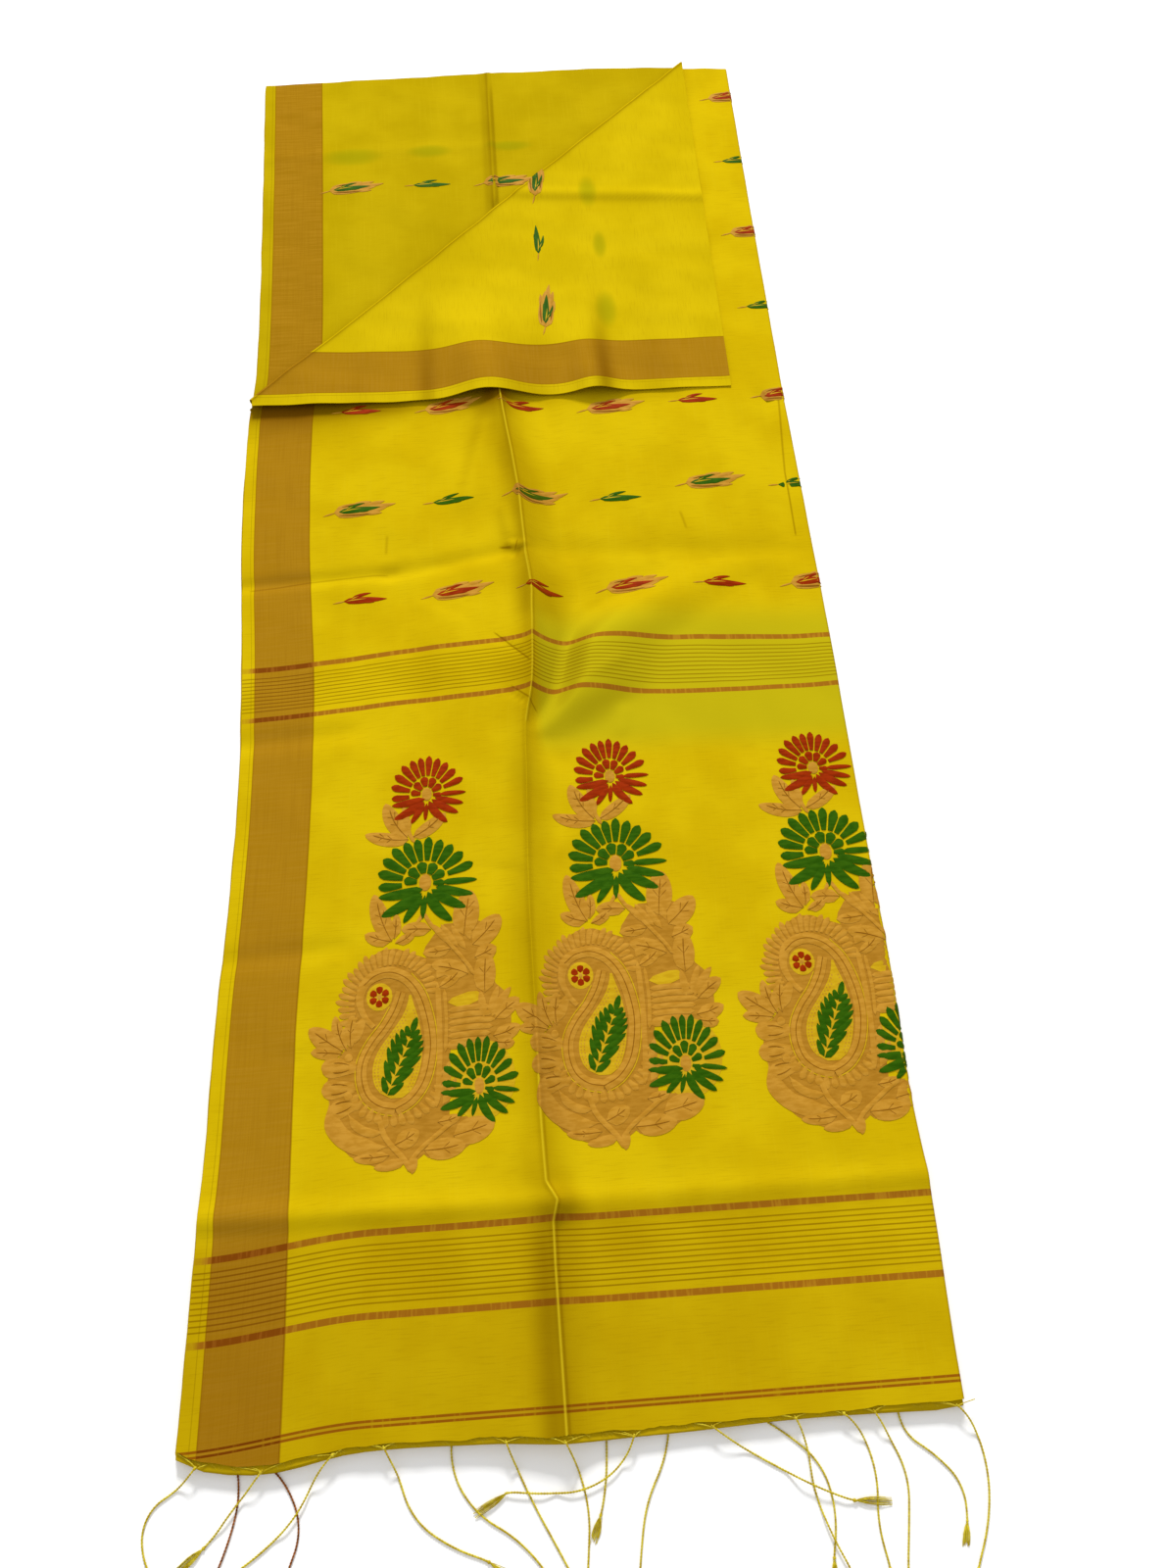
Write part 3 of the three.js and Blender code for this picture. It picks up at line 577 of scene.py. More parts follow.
def silk(name, bright, deep, border, ghosts, lines=()):
    """The woven silk. Ghosts are motifs of the layer below, which show through the cloth."""
    g = Graph(name)
    x, y = g.cloth()
    cloud = g.noise(g.point(x, y), 0.012, 3.0)
    slub = g.noise(g.point(g.math("MULTIPLY", x, 0.05), y), 0.9, 3.0)
    warp = g.noise(g.point(x, g.math("MULTIPLY", y, 0.02)), 0.7, 2.0)
    ground = g.mix(g.ramp(cloud, 0.35, 0.65), bright, deep)
    ground = g.mix(g.ramp(slub, 0.5, 0.72, 0.0, 0.22), ground, dye(176, 140, 6))
    ground = g.mix(g.ramp(warp, 0.5, 0.75, 0.0, 0.1), ground, dye(232, 204, 30))
    from_band = g.math("ABSOLUTE", g.math("SUBTRACT", y, GREENER_BAND))
    greener = g.math("MULTIPLY", g.ramp(x, 288.0, 306.0), g.ramp(from_band, 50.0, 92.0, 0.8, 0.0))
    ground = g.mix(greener, ground, dye(198, 184, 20))
    for gx, gy, rx, ry in ghosts:
        dx = g.math("DIVIDE", g.math("SUBTRACT", x, gx), rx)
        dy = g.math("DIVIDE", g.math("SUBTRACT", y, gy), ry)
        far = g.math("ADD", g.math("MULTIPLY", dx, dx), g.math("MULTIPLY", dy, dy))
        uneven = g.math("ADD", far, g.math("MULTIPLY", slub, 0.8))
        ground = g.mix(g.ramp(uneven, 0.3, 1.9, 0.6, 0.0), ground, dye(158, 156, 10))

    streak = g.noise(g.point(g.math("MULTIPLY", x, 0.03), y), 0.7, 4.0)
    copper = g.mix(g.ramp(streak, 0.36, 0.68), border, dye(182, 134, 28))
    copper = g.mix(g.ramp(warp, 0.42, 0.66, 0.0, 0.16), copper, dye(150, 102, 10))
    spread = g.math("MULTIPLY", g.ramp(y, 0.0, 330.0, 7.5, 0.0), g.ramp(x, *BORDER, 0.3, 1.0))
    woven = g.math("SUBTRACT", x, spread)
    in_border = g.math("MULTIPLY", g.ramp(woven, BORDER[0] - 0.4, BORDER[0] + 0.4),
                       g.ramp(woven, BORDER[1] - 0.4, BORDER[1] + 0.4, 1.0, 0.0))
    cloth = g.mix(in_border, ground, copper)
    edge = g.math("MAXIMUM", g.stripe(woven, BORDER[0], 0.5), g.stripe(woven, BORDER[1], 0.8))
    cloth = g.mix(g.math("MULTIPLY", edge, 0.5), cloth, dye(132, 76, 6))
    selvedge = g.math("MULTIPLY", g.stripe(x, SELVEDGE_LINE, 0.4), 0.35)
    cloth = g.mix(selvedge, cloth, dye(140, 110, 4))
    broken = g.noise(g.point(x, g.math("MULTIPLY", y, 0.1)), 0.3, 3.0)
    cloth = stripes_and_lines(g, cloth, x, y, in_border, broken)
    # Painted shade: below the cross fold near the hem the colour is darkened, half as much at the
    # folded side.
    near_hem = g.math("MULTIPLY", g.ramp(y, 150.0, 178.0, 0.24, 0.0),
                      g.ramp(x, 300.0, 570.0, 1.0, 0.5))
    cloth = g.mix(near_hem, cloth, dye(122, 66, 0))
    # Painted shade where the cloth turns away, in its folds and in the corner's shadow.
    cloth = g.with_painted_shade(cloth, 0.32)
    # Painted lines: dark ones are painted shade in sharp creases, a pale one is a painted
    # highlight.
    for strokes, tone in lines:
        cloth = painted_crease_lines(g, cloth, x, y, strokes, tone)
    weft = g.noise(g.point(g.math("MULTIPLY", x, 0.1), y), 3.2, 1.0)
    ends = g.noise(g.point(x, g.math("MULTIPLY", y, 0.1)), 3.2, 1.0)
    g.bump(g.math("ADD", weft, ends), 0.12, 0.0004)
    return g.finish(cloth, 0.6, specular=0.0, gloss=YELLOW_GLOSS)


# %% [markdown]
# Some creases are too sharp for a grid of cloth. Finer grids would show them, at the price of a
# far heavier mesh, so their shade is painted as thin lines instead: dark ones in the folds, and a
# pale painted highlight where the ridge's crest catches the light. The crest's line is read off the
# ridge itself.

# %% Drawn creases and the four silks
border_copper = dye(178, 130, 20)
# The colours of the painted crease shade and of the painted crest highlight.
crease_shade_tone, crest_highlight_tone = dye(116, 66, 0), dye(236, 208, 34)
# Painted shade lines along the sharpest creases.
SHARP_CREASES = table("x1 y1 x2 y2 half share", (584, 806, 585, 884, 0.9, 0.45),
                      (585, 884, 594, 990, 1.0, 0.4), (252, 699, 285, 662, 0.8, 0.5),
                      (265, 639, 296, 613, 0.8, 0.5), (72, 781, 150, 784, 0.8, 0.3),
                      (10, 776, 72, 781, 0.8, 0.35), (150, 807, 152, 828, 1.4, 0.22),
                      (466, 838, 470, 818, 1.3, 0.25), (268, 802, 280, 799, 1.2, 0.6),
                      (284, 796, 288, 806, 0.8, 0.4))
crest_v = np.array([-8, 60, 120, 152, 168, 184, 240, 300, 600, 640, 690, 740, 800, 860, 920,
                    975, 1008.0])
SOFT_STRETCH = 200
SIDE_SHIFT = 2.8
crest_x = thread_x(read(RIDGE, "v", crest_v, "u"), crest_v)
crest = np.stack([crest_x, crest_v + weft_dip(crest_x, crest_v)], 1)
stretches = [(a, b) for a, b in zip(crest.tolist(), crest[1:].tolist())
             if b[1] - a[1] < SOFT_STRETCH]
# A painted highlight along the crest, and painted shade a little to its right.
crest_highlight_line = table("x1 y1 x2 y2 half share", *[(*a, *b, 0.9, 0.6) for a, b in stretches])
crest_side_shade = {**crest_highlight_line, "x1": crest_highlight_line["x1"] + SIDE_SHIFT,
                "x2": crest_highlight_line["x2"] + SIDE_SHIFT,
                "share": np.full(len(stretches), 0.22)}
print("the crest lies on threads", *[round(float(x), 1) for x in (crest_x.min(), crest_x.max())])
golden_silk = silk("golden silk", dye(226, 194, 10), dye(216, 182, 6), border_copper, [],
                   [(SHARP_CREASES, crease_shade_tone), (crest_side_shade, crease_shade_tone),
                    (crest_highlight_line, crest_highlight_tone)])
reverse_silk = silk("reverse of the silk", dye(224, 194, 12), dye(214, 184, 8), border_copper,
                    [(119, 1398, 27, 12), (219, 1398, 20, 8), (304, 1390, 24, 11)])
# The length under the corner is the same silk, dyed darker as painted shade.
shaded_under_silk = silk("silk under the corner with painted shade", dye(202, 174, 10), dye(192, 164, 6), dye(170, 124, 18),
                  [(107, 1389, 34, 15), (200, 1392, 26, 11), (296, 1397, 27, 9)])
# The hidden plies are the same silk, dyed darker as painted shade.
shaded_inner_silk = silk("inner golden silk with painted shade", dye(200, 168, 14), dye(186, 154, 10), border_copper, [])
print("silk finishes:", golden_silk.name, "and", reverse_silk.name)

# %% [markdown]
# ## A sheet of cloth
# Cloth is thin but not flat, so a sheet is a grid of points with a second grid just under it,
# closed along its rim. The thread map goes in as a UV map, in metres, so patterns can't stretch.

# %% Sheet builder
CLOTH = 0.8


def normals_of(grid):
    ahead = np.concatenate([grid[:, 1:], grid[:, -1:]], 1)
    behind = np.concatenate([grid[:, :1], grid[:, :-1]], 1)
    up = np.concatenate([grid[1:], grid[-1:]], 0)
    down = np.concatenate([grid[:1], grid[:-1]], 0)
    n = np.cross(ahead - behind, up - down)
    return n / np.linalg.norm(n, axis=2, keepdims=True)


def grid_faces(index, upward=True):
    """The four-sided faces of a grid of point numbers, seen from above or from below."""
    a, b, c, d = index[:-1, :-1], index[:-1, 1:], index[1:, 1:], index[1:, :-1]
    return np.stack((a, b, c, d) if upward else (a, d, c, b), -1).reshape(-1, 4)


def wall_faces(upper, lower):
    """The faces between two closed loops of point numbers."""
    return np.stack([np.roll(upper, -1), upper, lower, np.roll(lower, -1)], -1)


def shell_faces(rows, columns, first=0):
    index = np.arange(rows * columns).reshape(rows, columns) + first
    under = rows * columns
    loop = np.concatenate([index[0, :], index[1:, -1], index[-1, -2::-1], index[-2:0:-1, 0]])
    return np.concatenate([grid_faces(index), grid_faces(index, False) + under,
                           wall_faces(loop, loop + under)])


def store_threads(mesh, threads):
    layer = mesh.uv_layers.new(name="threads")
    corners = np.empty(len(mesh.loops), np.int32)
    mesh.loops.foreach_get("vertex_index", corners)
    layer.uv.foreach_set("vector", (threads[corners] * MM).astype(np.float32).ravel())


def mesh_piece(name, points, faces, material, threads, sharp=50):
    mesh = bpy.data.meshes.new(name)
    mesh.from_pydata(points.tolist(), [], faces.tolist())
    store_threads(mesh, threads)
    mesh.materials.append(material)
    mesh.shade_smooth()
    mesh.set_sharp_from_angle(angle=math.radians(sharp))
    return put_in_scene(name, mesh)


def counted(piece):
    print(piece.name, sum(len(p.vertices) - 2 for p in piece.data.polygons), "triangles")
    return piece


def store_painted_shade(mesh, normals, painted_shade=0.0):
    """Painted shade per point: how far it turns from flat across the cloth, plus given shade."""
    steep = np.hypot(normals[:, 0], 0.35 * normals[:, 1]) / np.maximum(normals[:, 2], 0.3)
    field = mesh.attributes.new("slope", "FLOAT", "POINT")
    field.data.foreach_set("value", (smooth((steep - 0.1) / 0.6) + painted_shade).astype(np.float32))


def sheet_piece(name, grid, threads, material, painted_shade=0.0):
    normals = normals_of(grid)
    inner = grid - normals * CLOTH
    points = to_model(np.concatenate([grid.reshape(-1, 3), inner.reshape(-1, 3)]))
    threads = np.concatenate([threads.reshape(-1, 2)] * 2)
    piece = mesh_piece(name, points, shell_faces(*grid.shape[:2]), material, threads)
    # Painted shade amounts, given to both sides of the sheet.
    painted_shade = np.broadcast_to(painted_shade, grid.shape[:2]).ravel()
    store_painted_shade(piece.data, np.concatenate([normals.reshape(-1, 3)] * 2), np.tile(painted_shade, 2))
    print(name, len(piece.data.vertices), "points")
    return piece


# %% [markdown]
# ## The front stretch
# Its grid lines crowd together at the lengthwise crease, where a pinched fold needs them, and
# spread out where the cloth is calm. The right side turns under, as a folded edge does. The hem is
# torn, not cut, so its first row wanders a little.

# %% Front stretch
SIDE_LEDGE, HEM_LEDGE = 1.6, 4.2


def shares(count, power):
    """Steps from nothing to one that crowd together at the start."""
    return (np.arange(1, count + 1) / count) ** power


def across_the_cloth(v, left):
    right = float(right_at(v)) - ROLL
    crest = max(float(read(RIDGE, "v", v, "u")), left + 0.3 * (right - left))
    near = crest - (crest - left) * shares(54, 1.75)[::-1]
    far = crest + (right - crest) * shares(62, 1.75)
    return np.concatenate([near, [crest], far])


def torn(u):
    """How far the torn hem wanders."""
    return 0.9 * np.sin(u / 7.3) * np.sin(u / 19) + 1.3 * np.sin(u / 46 + 1) + 0.3 * np.sin(u * 2.1)


base_rows = np.concatenate([[0, 0.8, 2, 4, 7, 11], np.arange(15, 150, 4.2), np.arange(150, 190, 2),
                            np.arange(190, 760, 4.3), np.arange(760, 812, 2.4),
                            np.arange(812, CORNER_V, 4.4)])
rows = []
for base in base_rows:
    u = across_the_cloth(base, float(left_at(base)) + SIDE_LEDGE)
    reach = (hem_at(u) + HEM_LEDGE + torn(u)) * (1 - smooth(base / 70))
    rows.append(np.stack([u, base + reach], -1))
for v_line in np.arange(CORNER_V, 1522, 9.4):
    u = across_the_cloth(v_line, v_line - CORNER_V + 1)
    rows.append(np.stack([u, np.full_like(u, v_line)], -1))
rows = np.array(rows)
front = np.concatenate([rows, front_height(rows[..., 0], rows[..., 1])[..., None]], -1)
roll_angles = np.linspace(0, ROLL_SWEEP, 8)[1:]
turns = []
for angle in roll_angles:
    edge = front[:, -1].copy()
    edge[:, 0] += ROLL * math.sin(angle)
    edge[:, 2] -= ROLL * (1 - math.cos(angle))
    turns.append(edge)
front_x = thread_x(rows[..., 0], rows[..., 1])
front_y = rows[..., 1] + weft_dip(front_x, rows[..., 1])
turn_x = front_x[:, -1:] + ROLL * roll_angles
turn_y = np.repeat(front_y[:, -1:], len(roll_angles), 1)
front_threads = np.stack([np.concatenate([front_x, turn_x], 1),
                          np.concatenate([front_y, turn_y], 1)], -1)
# Painted shade on the front from the shade tables; none on its turned-under side.
front_painted_shade = np.concatenate([front_shade(rows[..., 0], rows[..., 1]),
                                np.zeros((len(rows), len(roll_angles)))], 1)
front_cloth = sheet_piece("front_cloth", np.concatenate([front, np.stack(turns, 1)], 1),
                          front_threads, golden_silk, front_painted_shade)

# %% [markdown]
# ## The length under the turned corner
# Only a triangle of it shows, the next length of the same cloth. It keeps its own soft crease
# from storage and the same border, and slips a little under the corner. A whole length could lie
# here, but what can't be seen would only add weight.

# %% Under stretch
under_u = np.concatenate([np.linspace(0, 262, 54), np.linspace(264, 294, 16),
                          np.linspace(299, TURN, 44)])
under_share = np.linspace(0, 1, 96) ** 0.9
low = CORNER_V + np.maximum(under_u - TUCK, 1.5)
high = top_at(under_u) - 1.5
v = low + under_share[:, None] * (high - low)
u = np.broadcast_to(under_u, v.shape).copy()
u[:, 0] = left_at(v[:, 0]) + 1.5
u[:, 1:12] = u[:, 1:12] + (u[:, :1] - under_u[0]) * (1 - np.arange(1, 12) / 12)
under = np.stack([u, v, under_height(u, v)], -1)
under_threads = np.stack([u - left_at(v), v], -1)
# Painted shade: a dark strip where this length slips under the corner, and a dark line in its soft
# crease.
painted_tuck_shade = 2.2 * np.exp(-np.maximum(v - CORNER_V - u - 3, 0) / 5)
painted_fold_shade = 1.3 * bell((u - UNDER_FOLD + 3) / 2.2) + 0.5 * bell((u - UNDER_FOLD + 9) / 4)
under_cloth = sheet_piece("under_cloth", under, under_threads, shaded_under_silk, painted_tuck_shade + painted_fold_shade)

# %% [markdown]
# ## The turned-down corner
# Turning a corner over a slant shows the reverse side, and swaps the two thread directions: the
# border that ran up the side now runs across. The fold itself is a half round that stands open.

# %% Turned corner


def corner_fold(u, angle):
    """The half round along the slanting fold, at an angle from its upper edge."""
    upper = corner_height(u, u + CORNER_V)
    lower = front_height(u, u + CORNER_V) - WALL
    radius = (upper - lower) / 2
    out = radius * np.sin(angle) / math.sqrt(2)
    return np.stack([u - out, u + CORNER_V + out,
                     (upper + lower) / 2 + radius * np.cos(angle)], -1)


corner_u = np.concatenate([[5, 8, 11.5], np.linspace(15, TURN, 150)])
corner_share = np.linspace(0, 1, 104) ** 0.92
hem_line = CORNER_HEM + 0.25 * np.sin(corner_u / 9)
v = hem_line + corner_share[:, None] * (corner_u + CORNER_V - hem_line)
u = np.broadcast_to(corner_u, v.shape)
flat_part = np.stack([u, v, corner_height(u, v)], -1)
bends = np.linspace(0, math.pi, 11)[1:]
round_part = np.stack([corner_fold(corner_u, a) for a in bends])
corner = np.concatenate([flat_part, round_part])
clear = corner_height(u, v) - front_height(u, v)
clear = clear[v < u + CORNER_V - 2]
print("least clearance under the corner:", round(float(clear.min()), 2), "mm")
corner_x = np.concatenate([v - CORNER_HEM, v[-1:] - CORNER_HEM + bends[:, None] * 3])
corner_y = np.concatenate([u + CORNER_V, u[:len(bends)] + CORNER_V])
# Painted shade on the half round of the fold, and the corner's painted shade bands.
round_shade = np.repeat(0.9 * smooth(bends / 1.3)[:, None], v.shape[1], 1)
corner_cloth = sheet_piece("corner_cloth", corner, np.stack([corner_x, corner_y], -1),
                           reverse_silk, np.concatenate([corner_shade(u, v), round_shade]))

# %% [markdown]
# ## The hidden lengths
# Below the front lie six more layers. Only their edges show, as thin folded beads along the top
# and right and as selvedges along the left, so they are one closed solid whose wall is stepped
# ply by ply, each ply with its own small wander.

# %% Hidden layers
PLIES = 7
LENGTH_TOP = 1525
ROLL_LEVEL = 0.55
PLY_RINGS = ((0.10, 0.0), (0.3, 0.75), (0.62, 0.85), (0.9, 0.1))


def layer_top(u, v):
    """Just under the front length, and flat where the corner hides it."""
    calm = 1 - 0.25 * smooth((v - 20) / 50)
    relief = (ridge(u, v) + branch(u, v) + creases(u, v, CREASES)) * calm
    relief = relief * (1 - smooth((v - 950) / 45))
    return STACK + swell(u, v) + relief - 0.9 * smooth((v - 6) / 10)


layer_v = np.concatenate([[0, 3.4], np.arange(12, 1516, 8.4), [LENGTH_TOP]])
grid_rows = []
for base in layer_v:
    left, right = float(left_at(base)) + 0.8, float(right_at(base)) - ROLL - 0.6
    crest = float(read(RIDGE, "v", base, "u"))
    line = np.concatenate([crest - (crest - left) * shares(24, 1.6)[::-1], [crest],
                           crest + (right - crest) * shares(26, 1.6)])
    end_shift = (hem_at(line) + 0.8) * (1 - smooth(base / 60))
    end_shift = end_shift + (top_at(line) - 0.8 - LENGTH_TOP) * smooth((base - 1450) / 75)
    grid_rows.append(np.stack([line, base + end_shift], -1))
grid_rows = np.array(grid_rows)
top_z = layer_top(grid_rows[..., 0], grid_rows[..., 1])
top_grid = np.concatenate([grid_rows, top_z[..., None]], -1)
n_rows, n_columns = top_grid.shape[:2]
index = np.arange(n_rows * n_columns).reshape(n_rows, n_columns)
edge = np.concatenate([index[0, :-1], index[:-1, -1], index[-1, :0:-1], index[:0:-1, 0]])
side = np.concatenate([np.repeat([[0, -1]], n_columns - 1, 0), np.repeat([[1, 0]], n_rows - 1, 0),
                       np.repeat([[0, 1]], n_columns - 1, 0), np.repeat([[-1, 0]], n_rows - 1, 0)])
rim = top_grid.reshape(-1, 3)[edge]
points = [top_grid.reshape(-1, 3)]
faces = [grid_faces(index)]
last, count = edge, n_rows * n_columns
walk = np.cumsum(np.linalg.norm(np.diff(rim, axis=0, append=rim[:1])[:, :2], axis=1))
right_hand = side[:, 0] > 0
for ply in range(PLIES):
    drift = 0.5 * np.sin(walk / (31 + 7 * ply) + ply)
    drift = drift + 0.35 * np.sin(walk / (11 + 3 * ply) + 2 * ply)
    for share, stand in PLY_RINGS:
        level = 1 - (ply + share) / PLIES
        reach = stand * 0.9 + 0.16 * ply + drift * 0.7
        if level > ROLL_LEVEL:
            under_roll = np.minimum(reach, 0.2)
        else:
            under_roll = 2.4 * smooth((0.62 - level) / 0.18) + stand * 0.4
        reach = np.where(right_hand, under_roll, reach)
        ring = rim.copy()
        ring[:, :2] += side * np.maximum(reach, -0.2)[:, None]
        ring[:, 2] *= level
        here = np.arange(len(edge)) + count
        faces.append(wall_faces(last, here))
        points.append(ring)
        last, count = here, count + len(edge)
bottom = top_grid.reshape(-1, 3).copy()
bottom[:, 2] = 0
points.append(bottom)
faces.append(grid_faces(index, False) + count)
faces.append(wall_faces(last, edge + count))
points = np.concatenate(points)
edge_threads = np.stack([np.full(len(points), 5.0), points[:, 1] * 0.05 + 700 + points[:, 2]], -1)
layers = mesh_piece("folded_edges", to_model(points), np.concatenate(faces), shaded_inner_silk,
                    edge_threads, 70)
print("folded_edges", len(points), "points,", PLIES, "plies")

# %% [markdown]
# ## Shapes for the woven motifs
# Each motif is drawn from one shape: a strip that follows a curved spine and swells and
# narrows along it. A petal, a leaf, a stem and the wide band of a paisley are all such strips, a
# little domed, so that they catch light like raised brocade. They are made flat, in thread places.

# %% Strips, leaves and bands
LIFT, SINK = 0.3, -0.3
PATH_STEP, PATCH_STEP = 3.0, 5.0


def strip(spine, half, lift=0.0, dome=0.25, across=5):
    """A domed strip along a spine, half as wide at each point as half says."""
    spine, half = np.asarray(spine, float), np.maximum(np.asarray(half, float), 0.06)
    run = np.gradient(spine, axis=0)
    run = run / np.linalg.norm(run, axis=1, keepdims=True)
    side = np.stack([-run[:, 1], run[:, 0]], -1)
    t = np.linspace(1, -1, across)
    xy = spine[:, None] + t[None, :, None] * half[:, None, None] * side[:, None]
    rise = dome * (1 - t ** 2)[None, :] * np.minimum(half / (half.max() * 0.6), 1)[:, None]
    return np.concatenate([xy, (LIFT + lift + rise)[..., None]], -1)


def blade(x, y, angle, length, bend):
    """The spine of a leaf: it leaves its root at an angle and turns by bend, both in degrees."""
    s = 1 - (1 - np.linspace(0, 1, max(6, int(length / 3.4)))) ** 1.35
    turn = np.radians(angle + bend * ((s[1:] + s[:-1]) / 2 - 0.3))
    walk = np.stack([np.cos(turn), np.sin(turn)], -1) * np.diff(s)[:, None] * length
    return np.concatenate([[[x, y]], np.array([x, y]) + np.cumsum(walk, 0)]), s


def leaf(x, y, angle, length, half, bend=0.0, lift=0.0, tip=0.8, dome=0.3, heel=0.5):
    """Pointed at both ends. A small tip or heel keeps that end full."""
    spine, s = blade(x, y, angle, length, bend)
    shape = s ** heel * (1 - s) ** tip
    return strip(spine, half * shape / shape.max(), lift, dome)


def petal(x, y, angle, length, half, bend=0.0, lift=0.0):
    """A tongue: nearly square at its root, and widest just before its rounded end."""
    spine, s = blade(x, y, angle, length, bend)
    end = np.clip(1 - (np.maximum(s - 0.62, 0) / 0.385) ** 2.2, 0, 1) ** 0.55
    return strip(spine, half * (0.48 + 0.52 * np.minimum(s / 0.72, 1)) * end, lift, 0.3)


def through(points):
    """A smooth path through a few points."""
    points = np.asarray(points, float)
    gaps = np.linalg.norm(np.diff(points, axis=0), axis=1)
    at = np.concatenate([[0], np.cumsum(gaps)])
    rows = {"at": at, "x": points[:, 0], "y": points[:, 1]}
    places = np.linspace(0, at[-1], max(4, int(at[-1] / PATH_STEP)))
    return np.stack([read(rows, "at", places, "x"), read(rows, "at", places, "y")], -1)


def band(points, half, lift=0.0, dome=0.25, taper=0.12):
    spine = through(points)
    s = np.linspace(0, 1, len(spine))
    ends = smooth(s / taper) * smooth((1 - s) / taper)
    return strip(spine, half * np.maximum(ends, 0.05), lift, dome)


def patch(sides, lift):
    """A flat ground between two side lines."""
    count = int((sides["y"][-1] - sides["y"][0]) / PATCH_STEP) + 2
    y = np.linspace(sides["y"][0], sides["y"][-1], count)
    left, right = read(sides, "y", y, "left"), read(sides, "y", y, "right")
    t = np.linspace(0, 1, max(5, int((right - left).max() / PATCH_STEP)))
    x = left[:, None] + t * (right - left)[:, None]
    return np.stack([x, np.broadcast_to(y[:, None], x.shape), np.full(x.shape, LIFT + lift)], -1)


def flat_mesh(name, grids):
    """Closed shells from grids of points, as one mesh."""
    points, faces, first = [], [], 0
    for grid in grids:
        under_side = grid.copy()
        under_side[..., 2] = SINK
        points += [grid.reshape(-1, 3), under_side.reshape(-1, 3)]
        faces.append(shell_faces(*grid.shape[:2], first))
        first += 2 * grid.shape[0] * grid.shape[1]
    mesh = bpy.data.meshes.new(name)
    mesh.from_pydata((np.concatenate(points) * MM).tolist(), [], np.concatenate(faces).tolist())
    return mesh


# %% [markdown]
# ## The small leaf motifs
# Flame-shaped leaves are scattered over the field, pointing away from the border. A small one is
# a single colour with a pale vein. A big one has a copper flame round the same coloured heart.
# They could be painted in the silk's finish, but a little relief lets them catch light.

# %% Leaf motifs
HEART = [leaf(-20, -0.5, 0, 44, 3.6, 3, 0, 0.8, heel=0.42), leaf(-13, 1.2, 20, 22, 1.8, -20, 0.03),
         leaf(-3, -1.6, -10, 14, 1.2, 14, 0.03)]
HEART_VEIN = [leaf(-17, -0.8, 6, 20, 0.55, -8, 0.3, dome=0.08),
              leaf(-12, 1.0, 24, 8, 0.4, -6, 0.3, dome=0.08)]
STEM = [band([(-31, -2.4), (-25, -1.4), (-18, -0.6)], 0.7, -0.05)]
FLAME = [leaf(-25, -0.2, 0, 56, 8.6, 3, 0, 0.62, heel=0.36), leaf(-6, 5.4, 10, 21, 2.8, -6, 0.02),
         leaf(7, 3.6, 10, 22, 2.6, -4, 0.03), leaf(3, -4.2, -9, 22, 2.5, 8, 0.02),
         leaf(8, 0.6, 2, 32, 3.2, 8, 0.04, 0.9),
         band([(-37, -3.0), (-30, -1.6), (-23, -0.6)], 0.8, -0.05)]
DUSK = [leaf(-20, -4.6, -6, 34, 0.8, 12, 0.34, dome=0.1), leaf(-16, 4.8, 6, 24, 0.6, -10, 0.34)]
flat_shapes = {
    "heart": flat_mesh("heart", HEART), "vein": flat_mesh("vein", HEART_VEIN),
    "stem": flat_mesh("stem", STEM), "flame": flat_mesh("flame", FLAME),
    "dusk": flat_mesh("dusk", DUSK),
}
print("leaf motif:", {name: len(mesh.polygons) for name, mesh in flat_shapes.items()})

# %% [markdown]
# ## The tall motif
# Three of these stand in the end panel. From the top: a red lotus, copper leaves, a green lotus,
# and a great copper paisley whose tip curls round a red rosette and holds a green leaf. The
# copper parts stand on a darker copper ground, so the narrow gaps between them draw the pattern;
# that ground is darker partly as painted shade between the raised parts.
# The flowers come first: a lotus is two fans of petals over eight leaves that swoop aside.

# %% Lotus and rosette
PETALS = table("angle start end half bend",
               (184, 21.4, 43, 4.5, -14), (166, 21.4, 45, 4.8, -8), (149, 21.4, 46, 4.9, -6),
               (132, 21.4, 46, 4.8, -4), (116, 21.4, 44, 4.6, -3), (101, 21.4, 43, 4.3, 0),
               (86, 21.4, 44, 4.4, 0), (70, 21.4, 43, 4.6, 2), (54, 21.4, 43, 4.7, 4),
               (37, 21.4, 44, 4.9, 6), (19, 22, 47, 4.4, 6),
               (172, 7.6, 19.8, 4.2, -16), (138, 8.2, 20, 4.9, -8), (101, 9.0, 20, 5.1, 0),
               (64, 8.4, 20, 4.9, 8), (28, 7.6, 20, 4.6, 14), (-6, 7.6, 18, 3.4, 18))
SWOOPS = table("x y angle length half bend",
               (15, -1, 1, 33, 3.0, -2), (10, -5, -17, 36, 4.0, 8), (6, -7, -35, 38, 4.7, 20),
               (2.5, -9, -59, 37, 5.0, 38), (-2, -6, 191, 41, 4.7, -14),
               (-3, -10, 211, 42, 5.2, -12), (-2.5, -12, 236, 30, 3.8, 0),
               (0, -12, 264, 22, 2.8, 4))


def lotus(cx, cy, wide, tall, turn=0.0):
    """A lotus at a place, made wider, taller or turned."""
    parts = []
    for angle, start, end, half, bend in rows_of(PETALS):
        a = math.radians(angle + turn)
        reach = np.array([math.cos(a) * wide, math.sin(a) * tall])
        size = float(np.hypot(*reach))
        parts.append(petal(cx + reach[0] * start, cy + reach[1] * start,
                           math.degrees(math.atan2(reach[1], reach[0])), (end - start) * size,
                           half * wide, bend))
    a = math.radians(turn)
    for x, y, angle, length, half, bend in rows_of(SWOOPS):
        px, py = x * math.cos(a) - y * math.sin(a), x * math.sin(a) + y * math.cos(a)
        parts.append(leaf(cx + px * wide, cy + py * wide, angle + turn, length * wide, half * wide,
                          bend, tip=0.5, heel=0.36))
    return parts


